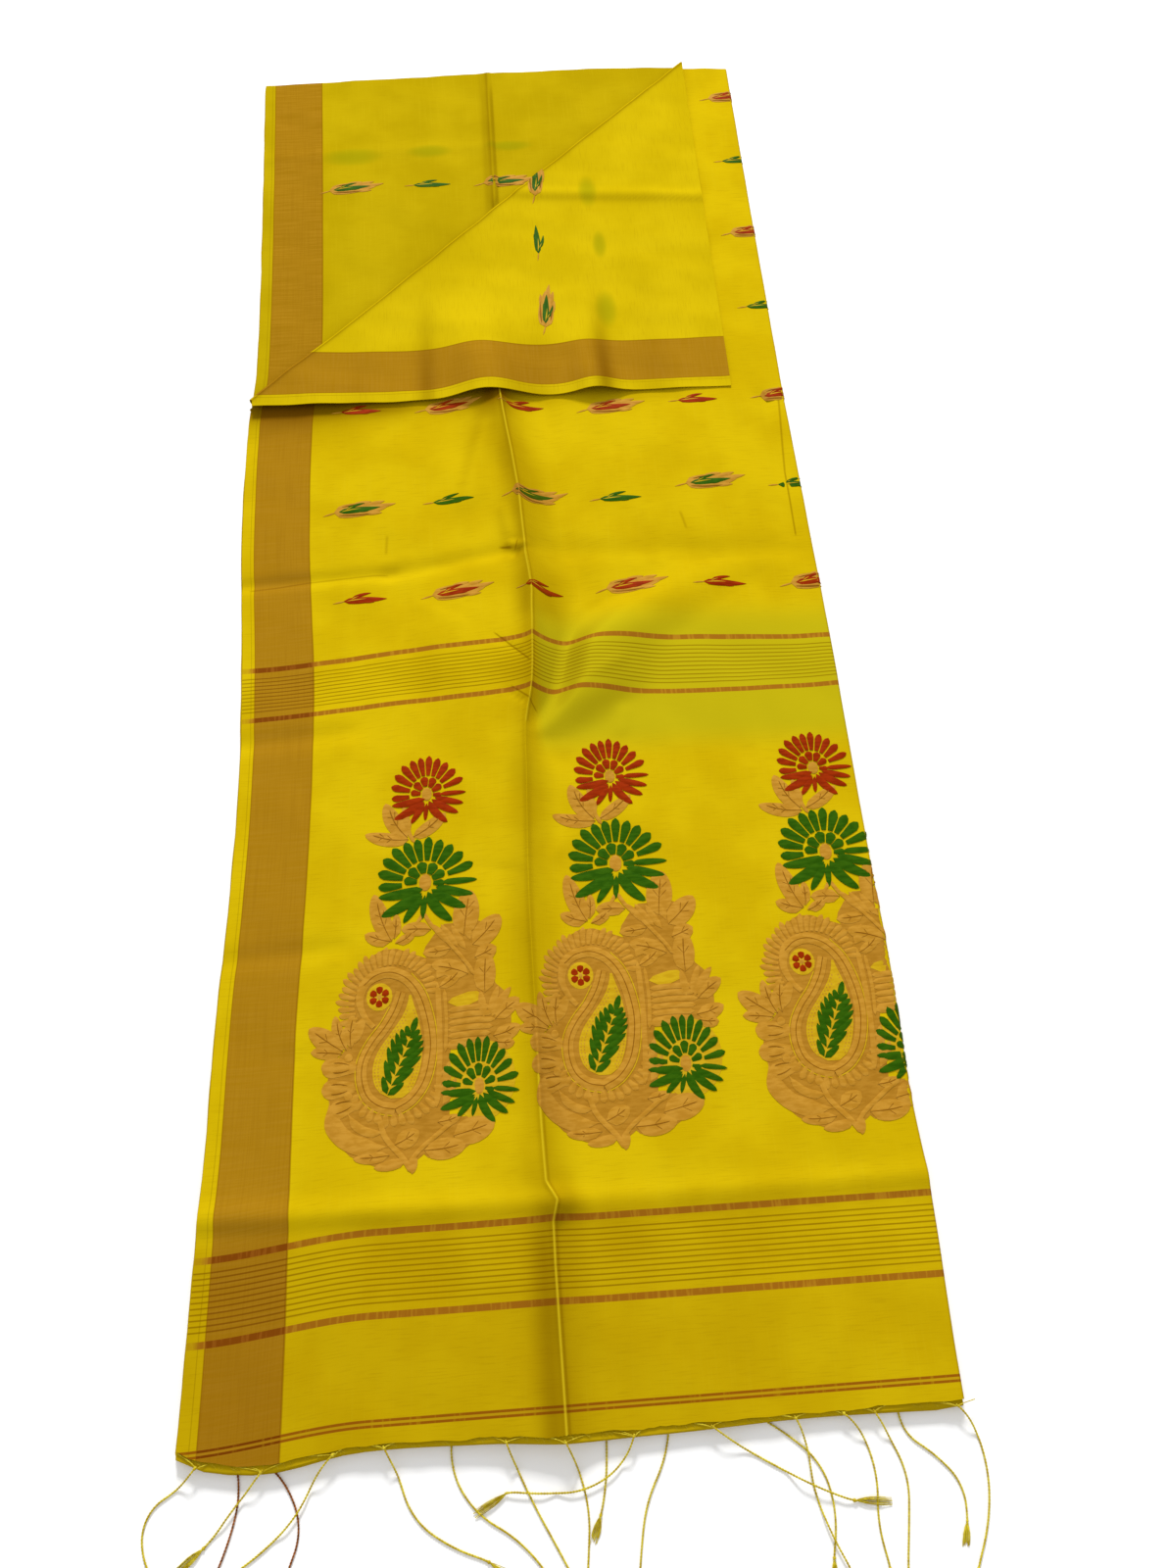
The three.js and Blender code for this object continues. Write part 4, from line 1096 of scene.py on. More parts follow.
def oval(cx, cy, rx, ry, lift=0.1):
    y = np.sin(np.linspace(-1, 1, 9) * math.pi / 2)
    return strip(np.stack([np.full(9, cx), cy + y * ry], -1), rx * np.sqrt(1 - y ** 2 * 0.98), lift)


def rosette(cx, cy, reach):
    return [leaf(cx + 2.4 * math.cos(a), cy + 2.4 * math.sin(a), math.degrees(a), reach - 2.4, 2.9,
                 tip=0.3, heel=0.5) for a in np.radians(np.arange(30, 390, 60))]


print("parts in a lotus:", len(lotus(0, 0, 1, 1)), "and in a rosette:", len(rosette(0, 0, 9)))

# %% [markdown]
# The paisley, its leaves and its stems are listed one by one, as an embroiderer's card would
# list them: where each leaf leaves its stem, its angle, its length, half its width and its bend.

# %% Paisley tables
CURL = [(-42, 321), (-50, 330), (-55, 343), (-52, 358), (-42, 366), (-29, 368), (-15, 362),
        (-4, 349), (3, 331), (7, 309), (6, 289), (1, 271), (-9, 258), (-22, 251)]
BACK = [(-22, 251), (-35, 254), (-46, 263), (-51, 278), (-50, 293), (-43, 307), (-32, 321),
        (-24, 335), (-19, 350)]
GROUNDS = [table("y left right", (206, -38, -8), (214, -56, 4), (224, -66, 12), (236, -72, 22),
                 (250, -75, 24), (264, -79, 24), (280, -80, 24), (294, -74, 24), (306, -64, 26),
                 (320, -60, 26), (336, -64, 26), (352, -65, 24), (364, -62, 18), (376, -54, 8),
                 (385, -44, -14), (389, -36, -24)),
           table("y left right", (298, 16, 70), (306, 16, 76), (318, 18, 78), (330, 18, 77),
                 (342, 16, 74), (352, 14, 64), (364, 10, 60), (376, 4, 58), (386, 0, 60),
                 (396, 6, 60), (404, 12, 56), (409, 18, 50)),
           table("y left right", (210, 6, 26), (216, 0, 38), (226, -4, 50), (234, 4, 52),
                 (241, 14, 40))]
HOLLOW = table("y left right", (260, -26, -16), (264, -34, -10), (272, -40, -5), (286, -42, -1),
               (300, -38, 0), (314, -28, -1), (328, -18, -4), (340, -13, -8), (347, -12, -10))
GOLD_SPOT = table("y left right", (334, 30, 40), (338, 22, 50), (342, 26, 54), (346, 40, 48))
COPPER_LEAVES = table("x y angle length half bend",
                      (-29, 396, 116, 48, 8.5, -22), (-27, 398, 84, 23, 4.6, 14),
                      (-30, 396, 166, 25, 6.5, -20), (-25, 394, 24, 20, 4.6, 40),
                      (36, 397, 84, 42, 12.0, -6), (44, 388, 42, 35, 10.5, 16),
                      (46, 376, 20, 21, 8.0, 12), (38, 384, 122, 27, 3.2, -10),
                      (31, 387, 128, 27, 3.2, -8), (24, 391, 134, 25, 3.2, -6),
                      (42, 392, 106, 25, 3.4, 0), (6, 405, 176, 27, 6.6, 8),
                      (24, 386, 188, 25, 5.2, -12), (40, 362, 158, 35, 7.8, 20),
                      (55, 344, 90, 37, 9.8, -6), (62, 306, 10, 25, 7.0, 30),
                      (64, 320, 40, 27, 7.2, -16), (61, 322, 58, 30, 4.0, -14),
                      (59, 324, 74, 26, 3.4, -8), (54, 322, 96, 24, 3.4, 8),
                      (64, 301, -14, 17, 5.4, 30), (-68, 302, 146, 37, 9.0, -6),
                      (-69, 300, 172, 27, 6.0, 8), (-65, 303, 116, 32, 5.2, -30),
                      (-61, 304, 94, 30, 5.0, -26), (-58, 308, 74, 24, 4.4, -20),
                      (-26, 214, 184, 30, 4.8, -14), (-12, 209, 192, 27, 4.4, -14),
                      (-6, 214, 266, 16, 3.8, 0), (-22, 222, 24, 23, 7.6, 16),
                      (3, 216, 2, 35, 8.8, 14), (27, 226, 12, 36, 10.8, 6),
                      (14, 238, 6, 20, 4.6, 24), (18, 252, 60, 24, 3.6, 10),
                      (20, 262, 84, 26, 3.8, -8), (12, 360, 60, 20, 4.4, 20),
                      (14, 352, 30, 26, 4.6, 30), (20, 300, 8, 20, 4.0, -24))
LOTUS_LEAVES = table("x y angle length half bend",
                     (-17, 494, 128, 42, 8.2, -36), (-16, 492, 176, 42, 6.8, -30),
                     (-12, 494, 30, 38, 6.6, 26), (-17, 500, 98, 26, 3.4, 10))
ROUND_SCALLOPS = table("x y angle length half bend",
                       (-56, 288, 177, 30, 9.4, -8), (-57, 271, 181, 28, 8.8, 0),
                       (-53, 258, 194, 26, 8.2, 8))
CRESCENTS = [([(-78, 262), (-75, 244), (-64, 230), (-47, 222), (-26, 221)], 7.4),
             ([(-62, 250), (-54, 239), (-42, 233), (-30, 233)], 3.6)]
STEMS = [([(-36, 247), (-30, 229), (-14, 210), (-7, 199)], 2.3),
         ([(34, 243), (12, 227), (-4, 214), (-8, 206)], 1.9),
         ([(13, 356), (15, 318), (15, 282), (13, 250)], 2.4),
         ([(19, 350), (21, 322), (20, 296)], 1.6),
         ([(-1, 421), (6, 409), (22, 392), (40, 370), (46, 360)], 1.7),
         ([(-10, 488), (-16, 500), (-14, 512)], 1.8), ([(-1, 421), (-12, 404), (-26, 394)], 1.5)]
HERRINGBONE = (0.62, 0.86, 1.0, 0.96, 0.82, 0.62, 0.4)
print("leaves:", len(COPPER_LEAVES["x"]) + len(LOTUS_LEAVES["x"]), "stems:", len(STEMS))

# %% [markdown]
# What repeats evenly is made by a loop instead: the scallops round the paisley and the leaflets
# of the green leaf that it holds.

# %% Scallops and herringbone leaf


def scallop_fans():
    """Narrow scallops round the curled head, and shorter ones round the foot."""
    parts = []
    for k, a in enumerate(np.radians(np.linspace(214, 12, 26))):
        reach = 47 + 1.5 * math.sin(k * 1.9) - 5 * smooth((k - 18) / 7)
        x, y = -28 + 31.5 * math.cos(a), 343 + 31.5 * math.sin(a)
        parts.append(petal(x, y, math.degrees(a) - 10, reach - 31.5, 2.75, -14, 0.02))
    for k, a in enumerate(np.radians(np.linspace(202, 352, 17))):
        x, y = -22 + 36.5 * math.cos(a), 284 + 36.5 * math.sin(a)
        parts.append(petal(x, y, math.degrees(a) + 6, 11 + math.sin(k * 2.3), 3.1, 14, 0.02))
    return parts


def feather_leaf():
    """The herringbone leaf in the paisley: leaflets in pairs along a leaning midrib."""
    parts = []
    lean = math.radians(69)
    for k, size in enumerate(HERRINGBONE):
        s = 3 + k * 8.4
        x, y = -30 + math.cos(lean) * s, 260 + math.sin(lean) * s
        parts.append(leaf(x + 0.2, y, 33, 27 * size, 2.9, 12, tip=0.4, heel=0.14))
        parts.append(leaf(x - 0.2, y + 1.0, 107, 25 * size, 2.8, -12, tip=0.4, heel=0.14))
    parts.append(leaf(-9, 314, 72, 14, 2.8, 0, tip=0.6))
    return parts


def curved_band(points, slim, full):
    """A wide domed band that starts slim."""
    spine = through(points)
    s = np.linspace(0, 1, len(spine))
    return strip(spine, slim + (full - slim) * smooth(s / 0.28), 0.16, 0.4, 7)


print("scallops:", len(scallop_fans()), "leaflets:", len(feather_leaf()))

# %% [markdown]
# The copper parts form the first layer. Over them lie thin darker lines that vein the leaves and
# edge the paisley, darker partly as painted shade of the relief's grooves, then pale gold fields,
# dots, and the red and green flowers.

# %% Layers of the tall motif
copper = [*scallop_fans(), *[leaf(*row, lift=0.08, tip=0.6) for row in rows_of(COPPER_LEAVES)]]
copper += [leaf(*row, tip=0.6) for row in rows_of(LOTUS_LEAVES)]
copper += [petal(*row, lift=0.04) for row in rows_of(ROUND_SCALLOPS)]
copper += [curved_band(CURL, 2.2, 5.0), curved_band(BACK, 5.0, 4.4)]
copper += [band(points, half, 0.08, 0.35, 0.3) for points, half in CRESCENTS]
copper += [band(points, half, 0.2, 0.2, 0.05) for points, half in STEMS]
copper += [band([(22, y), (42, y + 1.2), (64 - abs(k - 3) * 2, y)], 2.3, 0.04, 0.2, 0.1)
           for k, y in enumerate(np.arange(303, 334, 5.6))]
copper += [oval(0, 449, 5.6, 7.8), oval(1, 536, 4.8, 6.4), oval(49, 265, 4.6, 6.8, 0.24),
           oval(-38, 347, 2.2, 2.2, 0.2), oval(-63, 296, 3.6, 3.6, 0.3),
           oval(-62, 264, 3.6, 3.6, 0.3)]
flat_shapes["tall copper"] = flat_mesh("tall_copper", copper)

# A darker copper ground under the copper parts, partly painted shade in the gaps between them.
flat_shapes["tall ground"] = flat_mesh("tall_ground", [patch(sides, -0.14) for sides in GROUNDS])
# Veins and edges in deep copper, partly painted shade of the grooves between raised parts.
deep = []
VEINED_HALF = 4.5
for x, y, angle, length, half, bend in [*rows_of(COPPER_LEAVES), *rows_of(LOTUS_LEAVES)]:
    if half > VEINED_HALF:
        deep.append(leaf(x, y, angle, length * 0.82, 0.5, bend, 0.42, 0.2, 0.08))
        for way in (-1, 1):
            spine, s = blade(x, y, angle, length * 0.62, bend)
            for vein_x, vein_y in spine[3:-1:2]:
                deep.append(leaf(vein_x, vein_y, angle + way * 38, half * 0.85, 0.32, 0, 0.36,
                                 0.2, 0.06))
for x, y, angle, length, half, bend in rows_of(ROUND_SCALLOPS):
    deep.append(leaf(x - 6, y + 2, angle - 14, 14, 0.5, 30, 0.42, 0.2, 0.08))
    deep.append(leaf(x - 6, y - 2, angle + 14, 14, 0.5, -30, 0.42, 0.2, 0.08))
for path in (CURL[3:], BACK):
    deep.append(strip(through(path), np.full(len(through(path)), 0.42), 0.56, 0.06, 3))
flat_shapes["tall deep"] = flat_mesh("tall_deep", deep)

pale = [patch(HOLLOW, 0.02), patch(GOLD_SPOT, 0.0), oval(-38, 347, 11.5, 12, -0.02),
        oval(52, 270, 29, 33, -0.1)]
for path, shift in ((CURL[6:], 6.1), (BACK[:8], 5.6)):
    spine = through(path)
    run = np.gradient(spine, axis=0)
    run /= np.linalg.norm(run, axis=1, keepdims=True)
    outward = np.stack([-run[:, 1], run[:, 0]], -1)
    pale.append(strip(spine + outward * shift, np.full(len(spine), 0.5), 0.12, 0.1, 3))
flat_shapes["tall pale"] = flat_mesh("tall_pale", pale)

dots = []
for side, inward in (("left", 1), ("right", -1)):
    for step in (2.0, 4.8):
        for y in np.arange(264 + step, 342 - 3 * step, 2.7):
            x = float(read(HOLLOW, "y", y, side)) + inward * step
            dots.append(strip([(x, y - 0.6), (x, y + 0.6)], [0.55, 0.55], 0.08, 0.05, 3))
flat_shapes["tall dots"] = flat_mesh("tall_dots", dots)
flat_shapes["tall red"] = flat_mesh("tall_red", lotus(1, 536, 0.78, 0.9) + rosette(-38, 347, 9.2))
flat_shapes["tall green"] = flat_mesh("tall_green", lotus(0, 449, 1.0, 1.0)
                                      + lotus(49, 265, 0.74, 0.96, -10) + feather_leaf())
print("tall motif:", {k: len(m.polygons) for k, m in flat_shapes.items() if k.startswith("tall")})

# %% [markdown]
# ## Finishes of the motifs
# Brocade threads float over the ground, so each colour has fine ribs along the weft and a
# slightly uneven tone. One recipe with five dyes keeps them of one kind.

# %% Motif finishes
RIB_TURN = 7.2


def brocade(name, light, dark, gloss):
    g = Graph(name)
    x, y = g.cloth()
    tone = g.noise(g.point(g.math("MULTIPLY", x, 0.3), y), 0.3, 3.0)
    color = g.mix(g.ramp(tone, 0.36, 0.64), light, dark)
    ribs = g.math("SINE", g.math("MULTIPLY", y, RIB_TURN))
    rough = g.noise(g.point(x, y), 1.8, 2.0)
    color = g.mix(g.ramp(ribs, -0.2, 1.0, 0.0, 0.14), color, dark)
    # Painted shade where the motif turns away with the cloth.
    color = g.with_painted_shade(color, 0.26)
    g.bump(g.math("ADD", g.math("MULTIPLY", ribs, 0.4), rough), 0.25, 0.0003)
    return g.finish(color, 0.5, specular=0.02, gloss=gloss)


finishes = {
    "copper": brocade("copper brocade", dye(212, 155, 54), dye(196, 139, 40), COPPER_GLOSS),
    # The copper ground is darker partly as painted shade between the raised parts.
    "ground": brocade("copper ground", dye(196, 140, 44), dye(182, 127, 34), COPPER_GLOSS),
    # Deep copper, for veins, edges and the dark lines on the big leaves: partly painted groove
    # shade.
    "deep": brocade("deep copper brocade", dye(160, 106, 24), dye(146, 94, 18), COPPER_GLOSS),
    "pale": brocade("gold brocade", dye(222, 182, 30), dye(210, 166, 24), YELLOW_GLOSS),
    "red": brocade("red brocade", dye(170, 52, 8), dye(148, 42, 5), (1, 0.4, 0.2, 1)),
    "green": brocade("green brocade", dye(58, 102, 10), dye(44, 88, 6), (0.5, 1, 0.3, 1)),
}
print("motif finishes:", sorted(finishes))

# %% [markdown]
# ## Scattering the motifs
# Geometry Nodes copy one flat motif to every place where the loom repeats it, which is quicker to
# change than copies made by hand. The input mesh has one point for each place; the copies are
# then made real and given their finish. It all happens in flat thread places, and laying the
# result on the folds comes next.

# %% Scatter tree


def scatter_tree():
    tree = bpy.data.node_groups.new("scatter motifs", "GeometryNodeTree")
    face = tree.interface
    face.new_socket("Places", in_out="INPUT", socket_type="NodeSocketGeometry")
    motif = face.new_socket("Motif", in_out="INPUT", socket_type="NodeSocketObject")
    finish = face.new_socket("Finish", in_out="INPUT", socket_type="NodeSocketMaterial")
    tilt = face.new_socket("Tilt", in_out="INPUT", socket_type="NodeSocketFloat")
    face.new_socket("Motifs", in_out="OUTPUT", socket_type="NodeSocketGeometry")
    n = tree.nodes
    start, end = n.new("NodeGroupInput"), n.new("NodeGroupOutput")
    info, copy = n.new("GeometryNodeObjectInfo"), n.new("GeometryNodeInstanceOnPoints")
    real, dress = n.new("GeometryNodeRealizeInstances"), n.new("GeometryNodeSetMaterial")
    link = tree.links.new
    link(start.outputs["Places"], copy.inputs["Points"])
    link(start.outputs["Motif"], info.inputs["Object"])
    link(info.outputs["Geometry"], copy.inputs["Instance"])
    spin = n.new("ShaderNodeCombineXYZ")
    link(start.outputs["Tilt"], spin.inputs[2])
    link(spin.outputs[0], copy.inputs["Rotation"])
    link(copy.outputs[0], real.inputs[0])
    link(real.outputs[0], dress.inputs["Geometry"])
    link(start.outputs["Finish"], dress.inputs["Material"])
    link(dress.outputs[0], end.inputs[0])
    return tree, {"Motif": motif.identifier, "Finish": finish.identifier, "Tilt": tilt.identifier}


scatter, scatter_inputs = scatter_tree()
print("scatter inputs:", sorted(scatter_inputs))

# %% Using a tree


def applied(carrier, name):
    """The evaluated result of a carrier object, as a plain mesh."""
    graph = bpy.context.evaluated_depsgraph_get()
    mesh = bpy.data.meshes.new_from_object(carrier.evaluated_get(graph))
    mesh.name = name
    old = carrier.data
    bpy.data.objects.remove(carrier)
    bpy.data.meshes.remove(old)
    return mesh


def scattered(name, shape, places, finish, tilt=0.0, raised=0.0):
    """One motif at many thread places. Raised lifts its upper side over what lies below."""
    motif = put_in_scene("motif", flat_shapes[shape])
    spots = bpy.data.meshes.new("places")
    spots.from_pydata([(x * MM, y * MM, 0) for x, y in places], [], [])
    carrier = put_in_scene("carrier", spots)
    modifier = carrier.modifiers.new("scatter", "NODES")
    modifier.node_group = scatter
    modifier[scatter_inputs["Motif"]] = motif
    modifier[scatter_inputs["Finish"]] = finishes[finish]
    modifier[scatter_inputs["Tilt"]] = math.radians(tilt)
    mesh = applied(carrier, name)
    bpy.data.objects.remove(motif)
    for vertex in mesh.vertices:
        if vertex.co.z > 0:
            vertex.co.z += raised * MM
    return mesh


def joined(name, meshes):
    """Several flat meshes of one finish as one mesh. The first of them takes in the rest."""
    work = bmesh.new()
    for mesh in meshes:
        work.from_mesh(mesh)
    whole = meshes[0]
    work.to_mesh(whole)
    work.free()
    whole.name = name
    return whole


# %% [markdown]
# ## Laying motifs on the folds
# Each flat point is moved to its place on a sheet and pushed out along the cloth's own normal. A
# motif that reaches the folded side is cut there, and faces near the sharp crease are split finer.

# %% Places on the three sheets
PROBE = 0.4
LAST_TURN = 2.4


def slope_normal(height, u, v):
    """The cloth's outward direction, from its height a little to each side."""
    du = height(u + PROBE, v) - height(u - PROBE, v)
    dv = height(u, v + PROBE) - height(u, v - PROBE)
    n = np.stack([-du / (2 * PROBE), -dv / (2 * PROBE), np.ones_like(du)], -1)
    return n / np.linalg.norm(n, axis=-1, keepdims=True)


def on_front(x, y):
    """Thread places on the front, and round its folded side."""
    v = y - weft_dip(x, y)
    past = np.maximum(x - (HALF_WIDTH - ROLL), 0)
    u = place_u(np.minimum(x, HALF_WIDTH - ROLL), v)
    normal = slope_normal(front_height, u, v)
    point = np.stack([u, v, front_height(u, v)], -1)
    angle = np.minimum(past / ROLL, ROLL_SWEEP)
    point[:, 0] += ROLL * np.sin(angle)
    point[:, 2] -= ROLL * (1 - np.cos(angle))
    turned = np.stack([np.sin(angle), np.zeros_like(angle), np.cos(angle)], -1)
    return point, np.where((past > 0)[:, None], turned, normal)


def on_under(x, y):
    u = x + left_at(y)
    return np.stack([u, y, under_height(u, y)], -1), slope_normal(under_height, u, y)


def on_corner(x, y):
    """Thread places on the turned corner, and round its slanting fold."""
    u, v = y - CORNER_V, x + CORNER_HEM
    past = np.maximum((v - CORNER_V - u) / math.sqrt(2), 0)
    u0, v0 = u + past / math.sqrt(2), v - past / math.sqrt(2)
    point = np.stack([u0, v0, corner_height(u0, v0)], -1)
    normal = slope_normal(corner_height, u0, v0)
    radius = (corner_height(u0, v0) - front_height(u0, v0) + WALL) / 2
    angle = np.minimum(past / radius, LAST_TURN)
    turned = np.stack([-np.sin(angle) / math.sqrt(2), np.sin(angle) / math.sqrt(2),
                       np.cos(angle)], -1)
    fold = corner_fold(u0, angle)
    over = (past > 0)[:, None]
    return np.where(over, fold, point), np.where(over, turned, normal)


middle = np.array([300.0])
print("middle of the front lies at", on_front(middle, 2 * middle)[0].round(1).tolist(), "mm")

# %% Laying
CREST_ZONE, FINE_EDGE = 7, 1.3


def laid(name, mesh, place, trims=(), crest=False):
    """A flat mesh, trimmed, split finer at the crest, and moved onto a sheet."""
    work = bmesh.new()
    work.from_mesh(mesh)
    for point, normal in trims:
        every = work.verts[:] + work.edges[:] + work.faces[:]
        cut = bmesh.ops.bisect_plane(work, geom=every, dist=1e-7, plane_co=point, plane_no=normal,
                                     clear_outer=True)
        edges = [e for e in cut["geom_cut"] if isinstance(e, bmesh.types.BMEdge)]
        bmesh.ops.edgeloop_fill(work, edges=[e for e in edges if e.is_boundary])
    if crest:
        near = []
        for e in work.edges:
            middle = (e.verts[0].co + e.verts[1].co) / (2 * MM)
            line = float(thread_x(read(RIDGE, "v", middle.y, "u"), np.array(middle.y)))
            if abs(middle.x - line) < CREST_ZONE and e.calc_length() > FINE_EDGE * MM:
                near.append(e)
        bmesh.ops.subdivide_edges(work, edges=near, cuts=3, use_grid_fill=True)
    bmesh.ops.triangulate(work, faces=[f for f in work.faces if len(f.verts) > 4])
    work.to_mesh(mesh)
    work.free()
    flat = np.empty(len(mesh.vertices) * 3, np.float32)
    mesh.vertices.foreach_get("co", flat)
    flat = flat.reshape(-1, 3).astype(float) / MM
    point, normal = place(flat[:, 0], flat[:, 1])
    done = to_model(point + normal * flat[:, 2:3])
    mesh.vertices.foreach_set("co", done.astype(np.float32).ravel())
    store_threads(mesh, flat[:, :2])
    # Painted shade from how far the cloth under the motif turns away.
    store_painted_shade(mesh, normal)
    mesh.shade_smooth()
    mesh.set_sharp_from_angle(angle=math.radians(55))
    mesh.update()
    return counted(put_in_scene(name, mesh))


# %% [markdown]
# ## Placing every motif
# The loom repeats the leaves in staggered rows and the tall motifs three times. These are the
# places that show, on the front, on the length under the corner, and on the turned corner. What
# would reach past the folded side or the slanting fold is cut there.

# %% Motif places
SMALL_RED = [(124, 755), (311, 749), (500, 751), (122, 994), (307, 991), (500, 986)]
BIG_RED = [(219, 754), (405.5, 753), (594.5, 752), (219.5, 993), (403.5, 982), (597.5, 990),
           (594.5, 1235), (594.5, 1469)]
SMALL_GREEN = [(221, 866.5), (403.5, 860), (594.5, 868), (594.5, 1118), (594.5, 1354)]
BIG_GREEN = [(122, 862.5), (311, 868), (501, 875.5)]
UNDER_BIG, UNDER_SMALL = [(104, 1335), (287, 1335)], [(199, 1335)]
CORNER_BIG, CORNER_SMALL = [(122, 1331), (323, 1330)], [(229, 1327)]
TALL = [(181, 0), (361.5, 7), (559, 6)]

SIDE_CUT, FOLD_CUT = (0.6035, 0, 0), (0.3365, 1.3305, 0)
side_trim = [(SIDE_CUT, (1, 0, 0))]
fold_trim = [(FOLD_CUT, (1, -1, 0))]
SMALL_TILT, BIG_TILT, RAISED = -2, 4, 0.34


def leaf_layers(name, color, small, big, place, trims, crest=False):
    """The small and big leaves of one colour on one sheet, one piece for each finish."""
    made = []
    plans = {color: [("heart", small, SMALL_TILT, 0), ("heart", big, BIG_TILT, RAISED)],
             "pale": [("vein", small, SMALL_TILT, 0), ("vein", big, BIG_TILT, RAISED)],
             "copper": [("stem", small, SMALL_TILT, 0), ("flame", big, BIG_TILT, 0)],
             "deep": [("dusk", big, BIG_TILT, 0)]}
    for finish, parts in plans.items():
        flat = [scattered("part", shape, places, finish, tilt, up)
                for shape, places, tilt, up in parts if places]
        if flat:
            whole = joined(name + "_" + finish, flat)
            made.append(laid(name + "_" + finish, whole, place, trims, crest))
    return made


motifs = leaf_layers("red_leaves", "red", SMALL_RED, BIG_RED, on_front, side_trim, True)
motifs += leaf_layers("green_leaves", "green", SMALL_GREEN, BIG_GREEN, on_front, side_trim, True)
motifs += leaf_layers("under_leaves", "green", UNDER_SMALL, UNDER_BIG, on_under, [])
motifs += leaf_layers("corner_leaves", "green", CORNER_SMALL, CORNER_BIG, on_corner, fold_trim)

# %% [markdown]
# The tall motifs go on layer by layer, with the flowers lifted over the copper.

# %% Tall motifs
TALL_LAYERS = (("ground", "ground", 0), ("deep", "deep", 0), ("copper", "copper", 0),
               ("pale", "pale", 0), ("dots", "copper", 0), ("red", "red", 0.3),
               ("green", "green", 0.3))
for part, finish, raised in TALL_LAYERS:
    mesh = scattered("tall_" + part, "tall " + part, TALL, finish, raised=raised)
    motifs.append(laid("tall_" + part, mesh, on_front, side_trim, crest=True))

# %% [markdown]
# ## The fringe
# At the hem the warp ends are twisted into cords, each with two plies and a brushed-out tip. Each
# cord's path is a walk: at every millimetre it steps on in its heading. Cords come down off the
# hem, lie on the surface, and ride over any earlier cord that they cross. A row of the table is
# where a cord starts across the hem, its length, the headings that it takes along the way, the
# ply that it comes from, and the length of its brush.

# %% Cord table
CORDS = [
    (3, 125, (-40, -62, 5, 45, 25), "front", 20),
    (32, 120, (10, -14, -24, -15, 0), "back", 18),
    (52, 88, (-40, -43, -38, -50, -57), "front", 24),
    (59, 120, (46, 20, -22, -20, 0), "back", 18),
    (105, 130, (-50, -27, -50, -60, -40), "front", 20),
    (141, 140, (28, 18, 55, 70, 50), "front", 24),
    (191, 135, (-5, 32, 60, 42, 25), "back", 22),
    (232, 130, (18, 25, 29, 28, 15), "front", 20),
    (276, 130, (27, 14, -6, -8, 5), "front", 20),
    (307, 68, (-2, -6, -12, -20, -22), "back", 18),
    (328, 138, (-18, -60, -91, -98, -40), "front", 26),
    (354, 130, (-12, -32, -12, -8, 5), "back", 20),
    (428, 130, (58, 48, 10, -14, -5), "back", 20),
    (449, 130, (28, 0, 16, 26, 12), "front", 20),
    (485, 130, (52, 14, -10, 10, 0), "front", 20),
    (386, 142, (50, 59, 61, 68, 95), "front", 26),
    (509, 130, (30, 22, -10, -12, 0), "front", 20),
    (529, 106, (0, 55, 40, -4, -20), "back", 16),
    (572, 135, (46, 8, -12, -27, -20), "front", 20),
]
BROWN_ROOTS = (32, 59)
SLACK, STRIP_WIDTH, CORD_HALF = 0.4, 2.2, 0.9
LEDGE = {"front": 0.8 + GAP + STRIP_WIDTH, "back": 1.2}
LYING, MEETING, OVER = 1.0, 3.4, 2.1
print("cords:", len(CORDS), "longest", max(length for _, length, *_ in CORDS), "mm")

# %% Paths of the cords


def hem_top(u):
    """The top of the strip that the front cords are knotted to."""
    return float(front_height(np.array(float(u)), hem_at(u) + HEM_LEDGE)) - WALL - GAP - SLACK


def cord_plan(root, length, headings, ply):
    """Seen from above: one step for every millimetre, with the heading read between its turns."""
    plan = [(root, float(hem_at(root)) + LEDGE[ply] - STRIP_WIDTH / 2)]
    for s in range(length):
        along = s / length * (len(headings) - 1)
        k = int(along)
        heading = math.radians(headings[k] + (along - k) * (headings[k + 1] - headings[k]))
        plan.append((plan[-1][0] + math.sin(heading), plan[-1][1] - math.cos(heading)))
    return np.array(plan)


def laid_cords():
    """Each cord's plan and height, with a soft rise wherever it meets an earlier one."""
    done = []
    for root, length, headings, ply, _ in CORDS:
        plan = cord_plan(root, length, headings, ply)
        z = np.full(len(plan), LYING)
        if ply == "front":
            out = hem_at(plan[:, 0]) - plan[:, 1]
            high = hem_top(root) + GAP + CORD_HALF
            z = high + (z - high) * smooth((out - 1.6) / 20.4)
        rest = z.copy()
        for other, other_z in done:
            far = np.linalg.norm(plan[:, None] - other[None], axis=2)
            for a in range(5, len(plan)):
                b = int(far[a].argmin())
                if far[a, b] < MEETING and b > 5:
                    over = other_z[max(b - 9, 0):b + 10].max() + OVER
                    away = (np.abs(np.arange(len(plan)) - a) - 5) / 16
                    z = np.maximum(z, rest + (over - rest) * (1 - smooth(away)))
        done.append((plan, z))
    return done


cords = laid_cords()
print("highest crossing:", round(max(float(z[40:].max()) for _, z in cords), 1), "mm")

# %% [markdown]
# ## Twisting the cords
# A cord is two plies wound round one another. A plain tube with a twisted bump would be lighter,
# but its outline would stay straight. Geometry Nodes resample each path and push it out along a
# turning direction, once for each ply, then sweep a small circle along both.

# %% Cord tree


